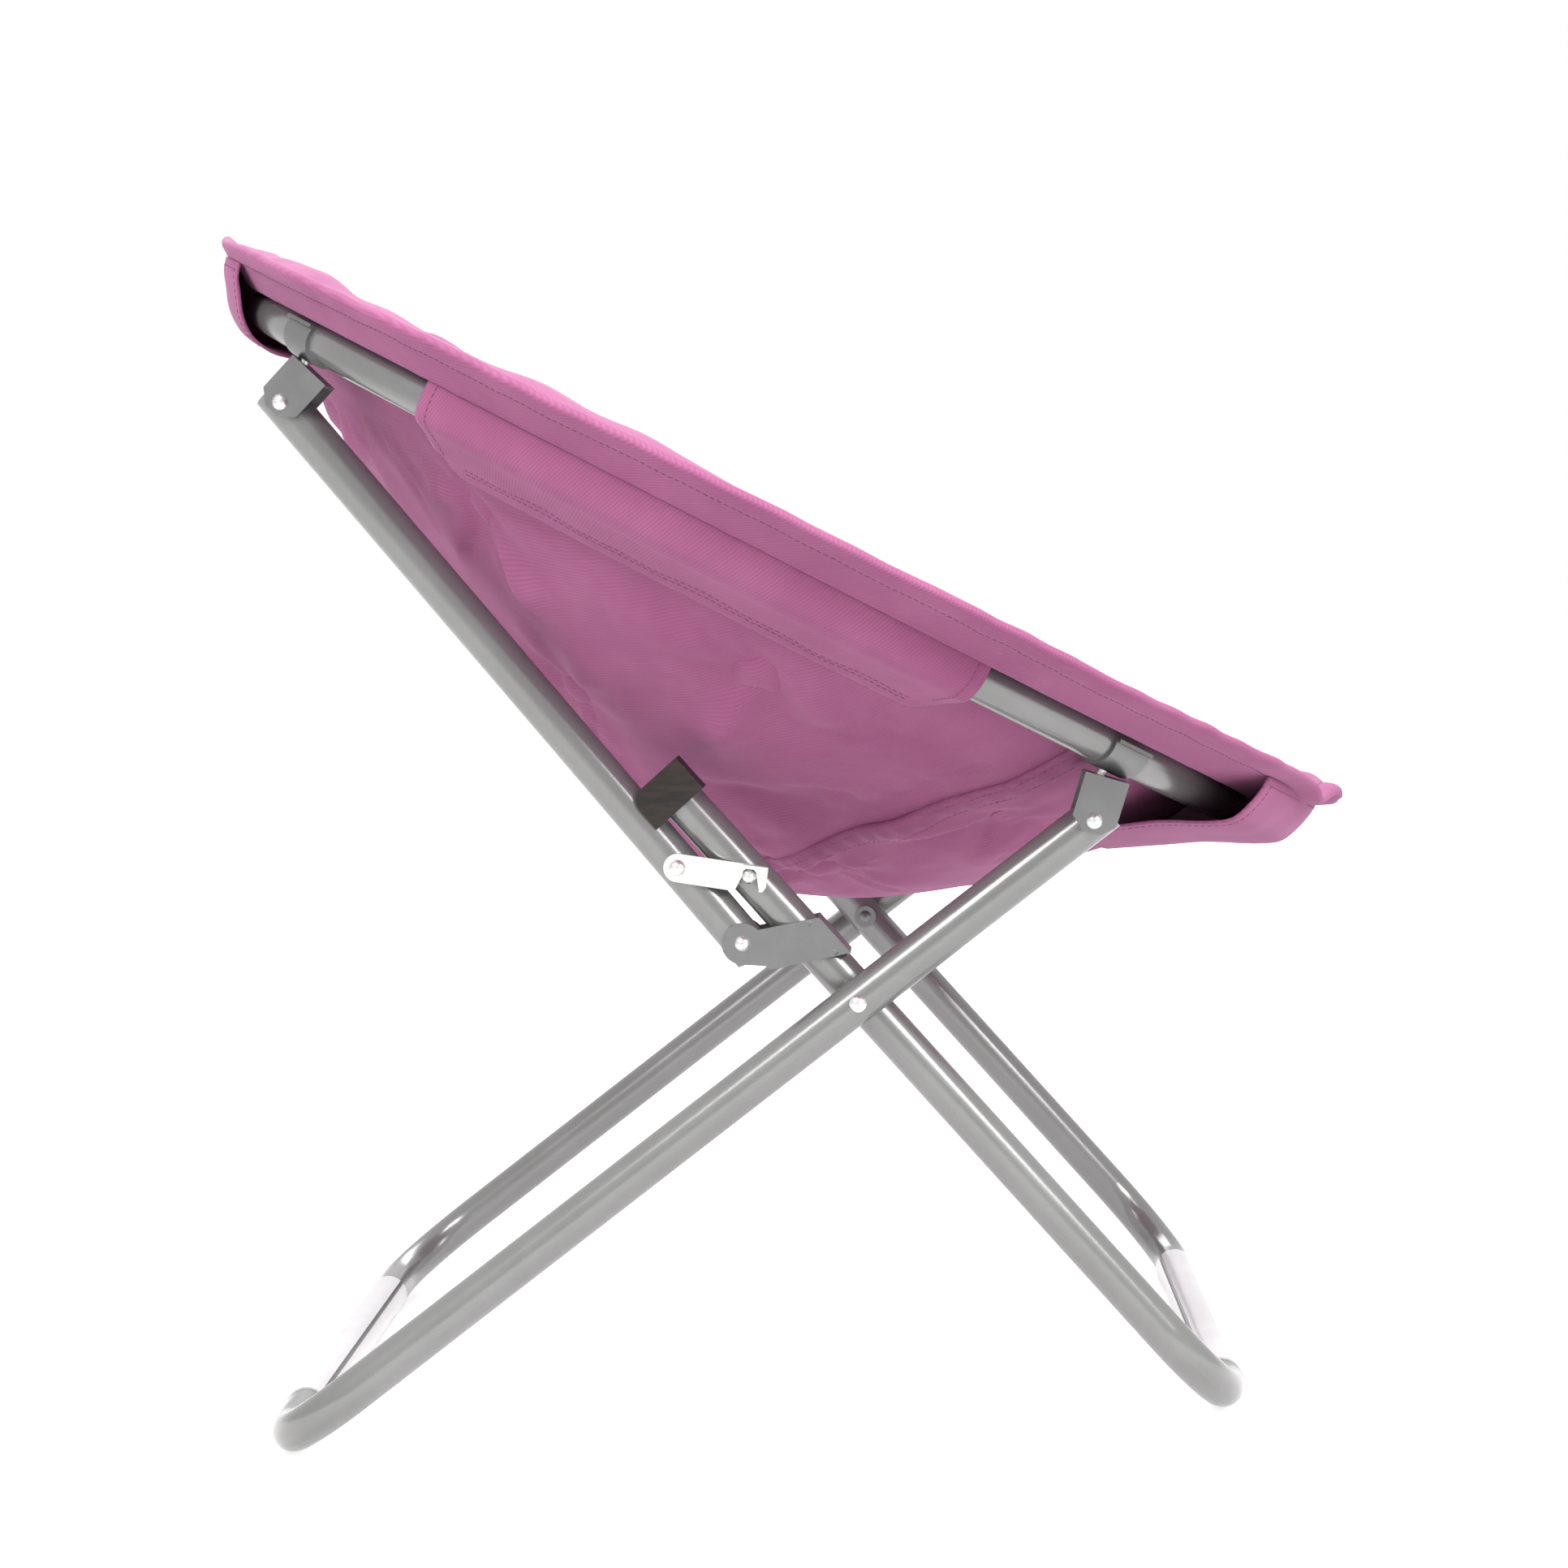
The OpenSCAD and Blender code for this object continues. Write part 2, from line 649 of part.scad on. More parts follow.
// Covered buttons on the outside of the bowl, each square to the cloth it pulls on
module tuft_buttons() {
    color(ORCHID) in_seat_frame() for (p = tufts) {
        slope = bowl_slope(p.x, p.y);
        translate([p.x, p.y, bowl_at(p.x, p.y) + under_relief(p)])
            rotate(a = atan(norm(slope)), v = [slope.y, -slope.x, 0]) mirror([0, 0, 1]) {
                translate([0, 0, -2]) cylinder(r = 8.5, h = 3.5);
                translate([0, 0, 1.5]) dome(8.5, 3);
            }
    }
}

// A welt that joins the front panel to the bowl, on an arc seen from above
welt_arc_x = 348;
welt_arc_r = 261;
welt_sweep = 52;
welt_steps = 36;
welt_sides = 8;
welt_ring = [for (k = [0:welt_steps]) let (a = 180 - welt_sweep + 2 * welt_sweep * k / welt_steps,
    p = [welt_arc_x, 0] + polar(welt_arc_r, a)) [p, a]];
welt_points = [for (w = welt_ring, j = [0:welt_sides - 1])
    let (c = 360 * j / welt_sides, p = w[0] + polar(4.5 * cos(c), w[1]))
    [p.x, p.y, bowl_at(w[0].x, w[0].y) + 2.6 * sin(c) - 1]];
welt_faces = concat(
    [[for (j = [0:welt_sides - 1]) j]],
    [for (i = [0:welt_steps - 1], j = [0:welt_sides - 1])
        let (a = i * welt_sides + j, b = i * welt_sides + (j + 1) % welt_sides)
        [a, a + welt_sides, b + welt_sides, b]],
    [[for (j = [welt_sides - 1:-1:0]) welt_steps * welt_sides + j]]);

module seat_welt() {
    color(ORCHID) in_seat_frame() polyhedron(welt_points, welt_faces, convexity = 4);
}

// Rear legs
module rear_leg_tube() {
    color(SILVER) difference() {
        at(rear_foot, rear_dir) u_tube(rear_half_w, rear_leg_run + tube_overrun);
        at(scissor) both_sides() cross_pin(rivet_r, front_half_w, rear_half_w + tube_d);
        at(front_seat_pivot) both_sides()
            cross_pin(hole_r, rear_half_w - tube_d, rear_half_w + tube_d);
    }
}

module rear_foot_sleeve() {
    color(MILKY) foot_sleeve(rear_foot, 40);
}

// The outer half of each scissor rivet
module scissor_rivets() {
    color(ZINC) both_sides() at(scissor)
        headed_rivet(rivet_r, rear_face, rear_half_w + tube_r, 5);
}

module saddle_rear_left() {
    saddle(rear_azimuth);
}

module saddle_rear_right() {
    mirror([0, 1, 0]) saddle_rear_left();
}

module saddle_front_left() {
    saddle(front_azimuth);
}

module saddle_front_right() {
    mirror([0, 1, 0]) saddle_front_left();
}

module knuckle_bracket_left() {
    knuckle_bracket();
}

module knuckle_bracket_right() {
    mirror([0, 1, 0]) knuckle_bracket();
}

module rest_cap_left() {
    rest_cap();
}

module rest_cap_right() {
    mirror([0, 1, 0]) rest_cap();
}

front_leg_tube();
front_foot_sleeve();
rest_cap_left();
rest_cap_right();
knuckle_bracket_left();
knuckle_bracket_right();
knuckle_rivets();
latch_pins();
scissor_spacers();
scissor_tails();
strut_left();
strut_right();
latch_rivets();
latch_left();
latch_right();
hoop_tube();
saddle_rear_left();
saddle_rear_right();
saddle_front_left();
saddle_front_right();
clevis_rear_left();
clevis_rear_right();
clevis_front_left();
clevis_front_right();
saddle_rivets();
strut_pivot_rivets();
leg_pivot_rivets();
seat_cover();
side_sleeve_left();
side_sleeve_right();
front_pocket();
rear_pocket();
tuft_buttons();
seat_welt();
rear_leg_tube();
rear_foot_sleeve();
scissor_rivets();
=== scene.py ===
"""Looks of the folding saucer chair, in metres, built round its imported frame."""

import json
import math

import bmesh
import bpy
import numpy as np
from mathutils import Matrix, Vector, noise


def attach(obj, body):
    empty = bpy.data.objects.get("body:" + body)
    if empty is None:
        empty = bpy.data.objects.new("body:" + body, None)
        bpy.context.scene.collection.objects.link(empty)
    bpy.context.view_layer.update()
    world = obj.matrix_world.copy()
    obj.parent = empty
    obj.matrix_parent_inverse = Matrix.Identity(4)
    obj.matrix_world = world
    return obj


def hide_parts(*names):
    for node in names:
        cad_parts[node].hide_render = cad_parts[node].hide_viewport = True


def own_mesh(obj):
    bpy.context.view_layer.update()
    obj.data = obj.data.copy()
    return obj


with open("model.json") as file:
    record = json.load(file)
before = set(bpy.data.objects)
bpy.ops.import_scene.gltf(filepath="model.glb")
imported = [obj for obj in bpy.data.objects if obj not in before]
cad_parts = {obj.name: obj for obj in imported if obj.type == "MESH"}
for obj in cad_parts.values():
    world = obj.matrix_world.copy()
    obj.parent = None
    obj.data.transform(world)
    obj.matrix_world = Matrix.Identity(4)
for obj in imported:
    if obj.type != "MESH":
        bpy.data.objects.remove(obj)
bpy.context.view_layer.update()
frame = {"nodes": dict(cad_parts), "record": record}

# The hoop's plane leans down to the front. Here +X runs down to the front in that
# plane, Y stays across the chair and Z stands square to it. Sizes are in metres.
HOOP_MID = Vector((-0.021989, 0.0, 0.534361))
HOOP_TILT = math.radians(29.5)
SEAT = Matrix.Translation(HOOP_MID) @ Matrix.Rotation(HOOP_TILT, 4, "Y")
HOOP_R = 0.351
TUBE_R = 0.0125
RIM_R = 0.404
RIM_LEAN = 0.010
RIM_LEAD = 0.010
PAD_T = 0.020
PAD_CROWN = 0.008

# The bowl is measured from its deepest point, spoke by spoke
BOWL_DEPTH = 0.205
BOWL_LEAD = 0.060
BOWL_EDGE_R = HOOP_R - TUBE_R - 0.0055
BOWL_EDGE_N = -0.006
BOWL_ROUND = 1.4
BOWL_STEEP = 0.875
BOWL_LEAN = 0.125

# The welt's arc, and how far the front pocket reaches to each side
WELT_MID_X = 0.348
WELT_R = 0.261
WELT_SWEEP = math.radians(67)
FRONT_SWEEP = math.radians(32)

OUTER_COUNT = 9
INNER_COUNT = 5
OUTER_TUFTS = [(0.281, math.radians(40 * k)) for k in range(OUTER_COUNT)]
INNER_TUFTS = [(0.165, math.radians(36 + 72 * k)) for k in range(INNER_COUNT)]
TUFTS = np.array([(r * math.cos(a), r * math.sin(a)) for r, a in OUTER_TUFTS + INNER_TUFTS])


def spoke_length(angle):
    """Length of a spoke from the deepest point out to the bowl's edge."""
    across = BOWL_LEAD * np.sin(angle)
    return np.sqrt(BOWL_EDGE_R**2 - across**2) - BOWL_LEAD * np.cos(angle)


def bowl_height(share, angle):
    """Height of the bowl's underside at a share of a spoke."""
    steep = BOWL_STEEP - BOWL_LEAN * np.cos(angle)
    drop = np.maximum(0.0, 1.0 - share**BOWL_ROUND) ** steep
    return BOWL_EDGE_N - (BOWL_DEPTH + BOWL_EDGE_N) * drop


def bowl_height_at(x, y):
    """Height of the bowl's underside over a place in the hoop's plane."""
    angle = np.arctan2(y, x - BOWL_LEAD)
    share = np.hypot(x - BOWL_LEAD, y) / spoke_length(angle)
    return bowl_height(np.minimum(share, 1.0), angle)


CURVE_CUTS = 24


def smooth_path(points, step):
    """A smooth curve through points, cut at an even step."""
    p = np.array(points, float)
    p = np.vstack([2 * p[0] - p[1], p, 2 * p[-1] - p[-2]])
    t = np.linspace(0, 1, CURVE_CUTS, endpoint=False)[:, None]
    runs = []
    for k in range(1, len(p) - 2):
        a, b, c, d = p[k - 1 : k + 3]
        runs.append(
            0.5 * (2 * b + (c - a) * t + (2 * a - 5 * b + 4 * c - d) * t**2
                   + (3 * b - a - 3 * c + d) * t**3)
        )
    fine = np.vstack(runs + [p[-2]])
    run = np.r_[0, np.cumsum(np.linalg.norm(np.diff(fine, axis=0), axis=1))]
    count = max(2, int(round(run[-1] / step)))
    even = np.linspace(0, run[-1], count + 1)
    return np.stack([np.interp(even, run, fine[:, k]) for k in range(fine.shape[1])], 1)


class Value:
    """A number that changes over a surface, with the sums a maker would write."""

    def __init__(self, shade, socket):
        self.shade = shade
        self.socket = socket

    def _math(self, operation, *others):
        return self.shade.add("ShaderNodeMath", {"operation": operation}, dict(enumerate(others)))

    def __add__(self, other):
        return self._math("ADD", self, other)

    def __mul__(self, other):
        return self._math("MULTIPLY", self, other)

    def sine(self):
        return self._math("SINE", self)

    def within(self, low, high):
        """0 below low, 1 above high, and smooth between them."""
        settings = {"interpolation_type": "SMOOTHSTEP"}
        return self.shade.add("ShaderNodeMapRange", settings,
                              {"Value": self.socket, "From Min": low, "From Max": high})


class Shade:
    """A material under construction."""

    def __init__(self, name):
        self.material = bpy.data.materials.new(name)
        self.material.use_nodes = True
        self.tree = self.material.node_tree
        self.surface = self.tree.nodes["Principled BSDF"]
        self.places = self.tree.nodes.new("ShaderNodeTexCoord")

    def add(self, kind, settings, inputs, output=0):
        """Adds a node, sets its settings, then fills its sockets with values or links."""
        node = self.tree.nodes.new(kind)
        for key, value in settings.items():
            setattr(node, key, value)
        for key, value in inputs.items():
            self.fill(node.inputs[key], value)
        return Value(self, node.outputs[output])

    def fill(self, socket, value):
        if isinstance(value, Value):
            value = value.socket
        if isinstance(value, bpy.types.NodeSocket):
            self.tree.links.new(value, socket)
        else:
            socket.default_value = value

    def place(self, output="Object", turn=(0, 0, 0), scale=(1, 1, 1)):
        """Coordinates of the piece, turned and scaled."""
        inputs = {"Vector": self.places.outputs[output], "Rotation": turn, "Scale": scale}
        return self.add("ShaderNodeMapping", {}, inputs)

    def axes(self, place):
        """The three numbers of a place."""
        node = self.tree.nodes.new("ShaderNodeSeparateXYZ")
        self.tree.links.new(place.socket, node.inputs[0])
        return [Value(self, output) for output in node.outputs]

    def noise(self, place, scale, detail=2.0, rough=0.5):
        inputs = {"Vector": place, "Scale": scale, "Detail": detail, "Roughness": rough}
        return self.add("ShaderNodeTexNoise", {}, inputs, "Fac")

    def blend(self, share, first, second):
        """A colour between two colours."""
        node = self.tree.nodes.new("ShaderNodeMix")
        node.data_type = "RGBA"
        self.fill(node.inputs[0], share)
        for socket, colour in ((node.inputs[6], first), (node.inputs[7], second)):
            self.fill(socket, colour if isinstance(colour, Value) else (*colour, 1.0))
        return Value(self, node.outputs[2])

    def finish(self, **values):
        for key, value in values.items():
            self.fill(self.surface.inputs[key.replace("_", " ")], value)
        return self.material

    def relief(self, height, depth, strength=1.0):
        inputs = {"Height": height, "Distance": depth, "Strength": strength}
        self.fill(self.surface.inputs["Normal"], self.add("ShaderNodeBump", {}, inputs))


# Cloth colours. ORCHID_SHADE is the darker dye tone; cloth() scales it down into painted shade
# between the ribs and on the welt.
ORCHID = (0.496, 0.160, 0.322)
ORCHID_SHADE = (0.366, 0.106, 0.232)
ORCHID_LIGHT = (0.588, 0.216, 0.392)
TWILL_PITCH = 0.0019
THREAD_PITCH = TWILL_PITCH * 0.55
WEAVE_DEPTH = 0.00022


def cloth(name, turn, deep=1.0):
    """Cotton twill: fine diagonal ribs with painted shade in the valleys between them, a softer
    cross thread, and slow shifts of dye.

    The ribs run at a turn in degrees, and deep below 1 darkens the dyed ground as painted shade, as
    on the welt.
    """
    shade = Shade(name)
    place = shade.place("UV", turn=(0, 0, math.radians(turn)))
    along, across, _ = shade.axes(place)
    rib = (across * (2 * math.pi / TWILL_PITCH)).sine() * 0.5 + 0.5
    cross = (along * (2 * math.pi / THREAD_PITCH)).sine() * 0.5 + 0.5
    fuzz = shade.noise(shade.place("UV"), 900.0, 1.0)
    weave = rib * 0.7 + cross * 0.12 + fuzz * 0.18
    body = shade.place()
    dye = shade.noise(body, 7.0, 3.0)
    bloom = shade.noise(body, 26.0, 2.0).within(0.35, 0.75)
    # deep scales the darker dye tone down: below 1 this is painted shade.
    dark = tuple(c * deep for c in ORCHID_SHADE)
    # Painted shade: the valleys between the ribs are coloured darker, following the weave's bump.
    rib_valley_shade = tuple(c * 0.8 for c in ORCHID_SHADE)
    ground = shade.blend(dye.within(0.3, 0.7) * 0.36 + 0.34, dark, ORCHID)
    ground = shade.blend(bloom * 0.35, ground, ORCHID_LIGHT)
    # The weave mixes the painted shade between the ribs into the colour.
    colour = shade.blend(weave.within(0.15, 0.85) * 0.34 + 0.5, rib_valley_shade, ground)
    shade.relief(weave, WEAVE_DEPTH, 0.55)
    return shade.finish(Base_Color=colour, Roughness=0.82, Sheen_Weight=0.22, Sheen_Roughness=0.45,
                        Sheen_Tint=(0.95, 0.62, 0.88, 1.0), Specular_IOR_Level=0.22)


def silver_paint():
    """Silver-grey powder coat: a metallic ground under a fine orange peel."""
    shade = Shade("silver_powder_coat")
    body = shade.place()
    flake = shade.noise(body, 1500.0, 1.0)
    peel = shade.noise(body, 260.0, 2.0)
    wear = shade.noise(body, 14.0, 4.0, 0.6).within(0.35, 0.75)
    colour = shade.blend(flake * 0.25 + wear * 0.3, (0.222, 0.222, 0.218), (0.305, 0.305, 0.305))
    shade.relief(peel * 0.8 + flake * 0.2, 0.00010, 0.35)
    return shade.finish(Base_Color=colour, Metallic=0.42, Roughness=wear * 0.04 + 0.22,
                        Specular_IOR_Level=0.45)


def plate_paint():
    """The same coat on pressed plate, a little flatter and cooler."""
    shade = Shade("silver_plate_coat")
    body = shade.place()
    flake = shade.noise(body, 1500.0, 1.0)
    press = shade.noise(body, 60.0, 3.0).within(0.35, 0.7)
    colour = shade.blend(flake * 0.25 + press * 0.3, (0.180, 0.181, 0.180), (0.235, 0.237, 0.238))
    shade.relief(press * 0.5 + flake * 0.3, 0.00015, 0.30)
    return shade.finish(Base_Color=colour, Metallic=0.65, Roughness=press * 0.08 + 0.40,
                        Specular_IOR_Level=0.45)


def zinc_plate():
    """Bright zinc on the latches and rivets, with faint drawing marks."""
    shade = Shade("bright_zinc")
    body = shade.place(scale=(1, 1, 7))
    mark = shade.noise(body, 240.0, 3.0)
    cloud = shade.noise(shade.place(), 45.0, 2.0).within(0.3, 0.7)
    colour = shade.blend(cloud * 0.5, (0.68, 0.68, 0.67), (0.80, 0.80, 0.79))
    shade.relief(mark, 0.00002, 0.3)
    return shade.finish(Base_Color=colour, Metallic=0.82, Roughness=mark * 0.12 + 0.22)


def cap_plastic():
    """Dark moulded plastic with rubbed brown streaks."""
    shade = Shade("dark_cap_plastic")
    body = shade.place(turn=(0, math.radians(50), 0), scale=(1, 1, 5))
    streak = shade.noise(body, 34.0, 5.0, 0.65).within(0.35, 0.8)
    grain = shade.noise(shade.place(), 900.0, 2.0)
    colour = shade.blend(streak, (0.016, 0.012, 0.011), (0.050, 0.034, 0.028))
    shade.relief(grain * 0.6 + streak * 0.4, 0.00015, 0.5)
    return shade.finish(Base_Color=colour, Roughness=streak * 0.18 + 0.42, Specular_IOR_Level=0.32)


def milky_sleeve():
    """Clear plastic gone milky, which lets a little of the tube show through."""
    shade = Shade("milky_sleeve_plastic")
    body = shade.place()
    haze = shade.noise(body, 22.0, 3.0).within(0.3, 0.75)
    scuff = shade.noise(shade.place(scale=(1, 0.15, 1)), 70.0, 2.0)
    colour = shade.blend(haze, (0.86, 0.86, 0.87), (0.95, 0.95, 0.96))
    shade.relief(scuff, 0.00004, 0.4)
    return shade.finish(Base_Color=colour, Roughness=scuff * 0.10 + 0.14, Transmission_Weight=0.22,
                        IOR=1.45, Specular_IOR_Level=0.7)


def thread():
    """Sewing thread, a shade darker than the cloth."""
    shade = Shade("orchid_thread")
    body = shade.place()
    twist = shade.noise(body, 1400.0, 1.0)
    colour = shade.blend(twist, (0.215, 0.056, 0.138), (0.300, 0.088, 0.200))
    shade.relief(twist, 0.0001, 0.6)
    return shade.finish(Base_Color=colour, Roughness=0.7)


TUBE_COAT = silver_paint()
PLATE_COAT = plate_paint()
ZINC = zinc_plate()
CAP = cap_plastic()
MILKY = milky_sleeve()
PAD_CLOTH = cloth("orchid_twill", 40)
SLEEVE_CLOTH = cloth("orchid_twill_sleeve", 68)
# The welt's cloth is a darker copy of the twill: painted shade on the overlapped strip.
WELT_SHADED_CLOTH = cloth("orchid_twill_welt_painted_shade", 15, deep=0.62)
THREAD = thread()

SLOT_FINISH = {
    "tube_steel": TUBE_COAT,
    "plate_steel": PLATE_COAT,
    "zinc_steel": ZINC,
    "cap_plastic": CAP,
    "sleeve_plastic": MILKY,
}
for part in frame["record"]["subparts"]:
    if part["material_slot"] in SLOT_FINISH:
        node = frame["nodes"][part["node"]]
        node.data.materials.clear()
        node.data.materials.append(SLOT_FINISH[part["material_slot"]])


def piece(name, bm, material, body="seat"):
    """Turns a bmesh drawn in the seat's frame into a piece that rides on a body."""
    bmesh.ops.transform(bm, matrix=SEAT, verts=bm.verts)
    mesh = bpy.data.meshes.new(name)
    bm.to_mesh(mesh)
    bm.free()
    for face in mesh.polygons:
        face.use_smooth = True
    made = bpy.data.objects.new(name, mesh)
    bpy.context.scene.collection.objects.link(made)
    mesh.materials.append(material)
    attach(made, body)
    return made


def crumple(made):
    """Gives the piece a mesh of its own."""
    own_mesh(made)


def coordinates(bm):
    return np.array([v.co for v in bm.verts])


def move_to(bm, places):
    for v, p in zip(bm.verts, places):
        v.co = p


def lay_flat_uv(bm, places):
    """Gives each corner a UV in metres: places holds one pair per vertex."""
    layer = bm.loops.layers.uv.verify()
    bm.verts.index_update()
    for face in bm.faces:
        for loop in face.loops:
            loop[layer].uv = places[loop.vert.index]


def apply_modifiers(obj):
    """Makes the shape that the modifiers give the object's own mesh."""
    shown = obj.evaluated_get(bpy.context.evaluated_depsgraph_get())
    mesh = bpy.data.meshes.new_from_object(shown)
    obj.modifiers.clear()
    obj.data = mesh


# The cloth simulation of the cover: its length, the furthest that it may move the
# cloth, the steps in which places are held, and the cloth's own settings
SETTLE_FRAMES = 12
SETTLE_MOST = 0.0055
HELD_LEVELS = 16
PAD_SETTINGS = {
    "vertex_group_mass": "sewn",
    "quality": 4,
    "mass": 0.15,
    "tension_stiffness": 20,
    "compression_stiffness": 20,
    "shear_stiffness": 8,
    "bending_stiffness": 0.3,
    "tension_damping": 12,
    "compression_damping": 12,
    "shear_damping": 8,
    "bending_damping": 1.0,
    "air_damping": 3.0,
    "shrink_min": -0.02,
    "shrink_max": -0.02,
    "use_pressure": True,
    "uniform_pressure_force": 4.0,
}

# How finely the cover is cut
COLUMNS = 450
UNDER_RINGS = 80
TOP_RINGS = 60
RIM_STEP = 0.0026

# The cover's outer part as [radius, height]: over the hoop, out along the band to
# the rolled rim with its row of stitches, and back over the stuffed edge
RIM_SECTION = [
    (HOOP_R - 0.0142, 0.0015), (HOOP_R - 0.0116, 0.0082), (HOOP_R - 0.0058, 0.0131),
    (HOOP_R + 0.0012, 0.0143), (HOOP_R + 0.0092, 0.0117), (HOOP_R + 0.0150, 0.0108),
    (HOOP_R + 0.0182, 0.0098), (HOOP_R + 0.0235, 0.0138), (HOOP_R + 0.0320, 0.0200),
    (HOOP_R + 0.0390, 0.0250),
    (HOOP_R + 0.0414, 0.0262), (HOOP_R + 0.0436, 0.0268), (HOOP_R + 0.0480, 0.0300),
    (HOOP_R + 0.0518, 0.0330), (HOOP_R + 0.0530, 0.0352), (HOOP_R + 0.0518, 0.0372),
    (HOOP_R + 0.0485, 0.0376), (HOOP_R + 0.0440, 0.0356), (HOOP_R + 0.0415, 0.0344),
    (HOOP_R + 0.0370, 0.0344), (HOOP_R + 0.0260, 0.0336), (HOOP_R + 0.0130, 0.0322),
    (HOOP_R - 0.0020, 0.0285), (HOOP_R - 0.0120, 0.0245),
    (BOWL_EDGE_R, BOWL_EDGE_N + PAD_T + PAD_CROWN),
]
rim_rings = smooth_path(RIM_SECTION, RIM_STEP)
RINGS = UNDER_RINGS + len(rim_rings) + TOP_RINGS


def lean_rim(radius, azimuth, height):
    """Past the hoop the cover moves forwards to the rim's own circle and leans with it."""
    share = np.maximum(0.0, (radius - HOOP_R - TUBE_R) / (RIM_R - HOOP_R - TUBE_R))
    back = (1 - np.cos(azimuth)) / 2
    x = radius * np.cos(azimuth) + RIM_LEAD * share
    y = radius * np.sin(azimuth)
    return x, y, height - RIM_LEAN * back * share


def slow_noise(x, y, pitch, seed):
    """A smooth random swell over the hoop's plane, about -1 to 1."""
    return np.array([noise.noise(Vector((a / pitch, b / pitch, seed))) for a, b in zip(x, y)]) * 1.6


def tuft_near(x, y, reach):
    """1 at a tuft, falling to 0 about a tuft's reach away."""
    far = np.hypot(x[:, None] - TUFTS[None, :, 0], y[:, None] - TUFTS[None, :, 1])
    return np.exp(-((far.min(1) / reach) ** 2))


def tuft_folds(x, y, seed, near, spread):
    """Soft folds that run out from each tuft, as ridges of uneven length."""
    folds = np.zeros_like(x)
    for k, (tuft_x, tuft_y) in enumerate(TUFTS):
        dx = x - tuft_x
        dy = y - tuft_y
        far = np.hypot(dx, dy)
        bearing = np.arctan2(dy, dx)
        ridge = (0.5 + 0.5 * np.cos(3 * bearing + 1.9 * k + seed)) ** 3
        ridge += 0.7 * (0.5 + 0.5 * np.cos(4 * bearing + 0.7 * k + 2 * seed + 9 * far)) ** 4
        folds += ridge * np.exp(-(((far - near) / spread) ** 2))
    return folds


def seam_lines(x, y, width):
    """How near a place is to the soft valleys that run between neighbouring tufts."""
    valley = np.zeros_like(x)
    outer = TUFTS[:OUTER_COUNT]
    inner = TUFTS[OUTER_COUNT:]
    lines = [(outer[k], outer[(k + 1) % OUTER_COUNT]) for k in range(OUTER_COUNT)]
    lines += [(inner[k], inner[(k + 1) % INNER_COUNT]) for k in range(INNER_COUNT)]
    for q in inner:
        near = np.argsort(np.hypot(*(outer - q).T))[:2]
        lines += [(q, outer[k]) for k in near]
    for a, b in lines:
        run = b - a
        share = np.clip(((x - a[0]) * run[0] + (y - a[1]) * run[1]) / (run @ run), 0, 1)
        off = np.hypot(x - a[0] - share * run[0], y - a[1] - share * run[1])
        valley = np.maximum(valley, np.exp(-((off / width) ** 2)))
    return valley


def under_relief(x, y):
    """How far the underside stands in from the plain bowl: tufts, their folds and soft swells."""
    inside = np.clip((BOWL_EDGE_R - np.hypot(x, y)) / 0.06, 0, 1)
    pulled = 0.0026 * tuft_near(x, y, 0.034) + 0.0030 * tuft_near(x, y, 0.015)
    folds = 0.0068 * tuft_folds(x, y, 0.4, 0.042, 0.024)
    swell = 0.0060 * slow_noise(x, y, 0.125, 3.1) + 0.0022 * slow_noise(x, y, 0.050, 8.4)
    return inside * (0.0020 + pulled + 0.0016 * seam_lines(x, y, 0.020) - folds + swell)


def top_relief(x, y):
    """How far the top stands up from the plain pad."""
    crown = PAD_CROWN * (1 - tuft_near(x, y, 0.054)) - 0.55 * PAD_T * tuft_near(x, y, 0.034)
    inside = np.clip((BOWL_EDGE_R + 0.01 - np.hypot(x, y)) / 0.05, 0, 1)
    drawn = 0.0035 * tuft_near(x, y, 0.013) + 0.0042 * seam_lines(x, y, 0.015)
    folds = 0.0022 * tuft_folds(x, y, 1.3, 0.032, 0.018)
    swell = 0.0026 * slow_noise(x, y, 0.085, 5.7) + 0.0010 * slow_noise(x, y, 0.036, 1.2)
    return crown + inside * (folds + swell - drawn)


def pad_layout():
    """Where each vertex of the cover lies, before any sewing pulls on it."""
    bm = bmesh.new()
    bmesh.ops.create_uvsphere(bm, u_segments=COLUMNS, v_segments=RINGS, radius=1.0)
    ball = coordinates(bm)
    ring = np.rint(np.arccos(np.clip(-ball[:, 2], -1, 1)) / math.pi * RINGS).astype(int)
    turn = np.arctan2(ball[:, 1], ball[:, 0])
    return bm, ring, turn


WINDOW_END = 0.25


def window(angle, low, high):
    """1 between two angles, with soft ends."""
    return np.clip((angle - low) / WINDOW_END, 0, 1) * np.clip((high - angle) / WINDOW_END, 0, 1)


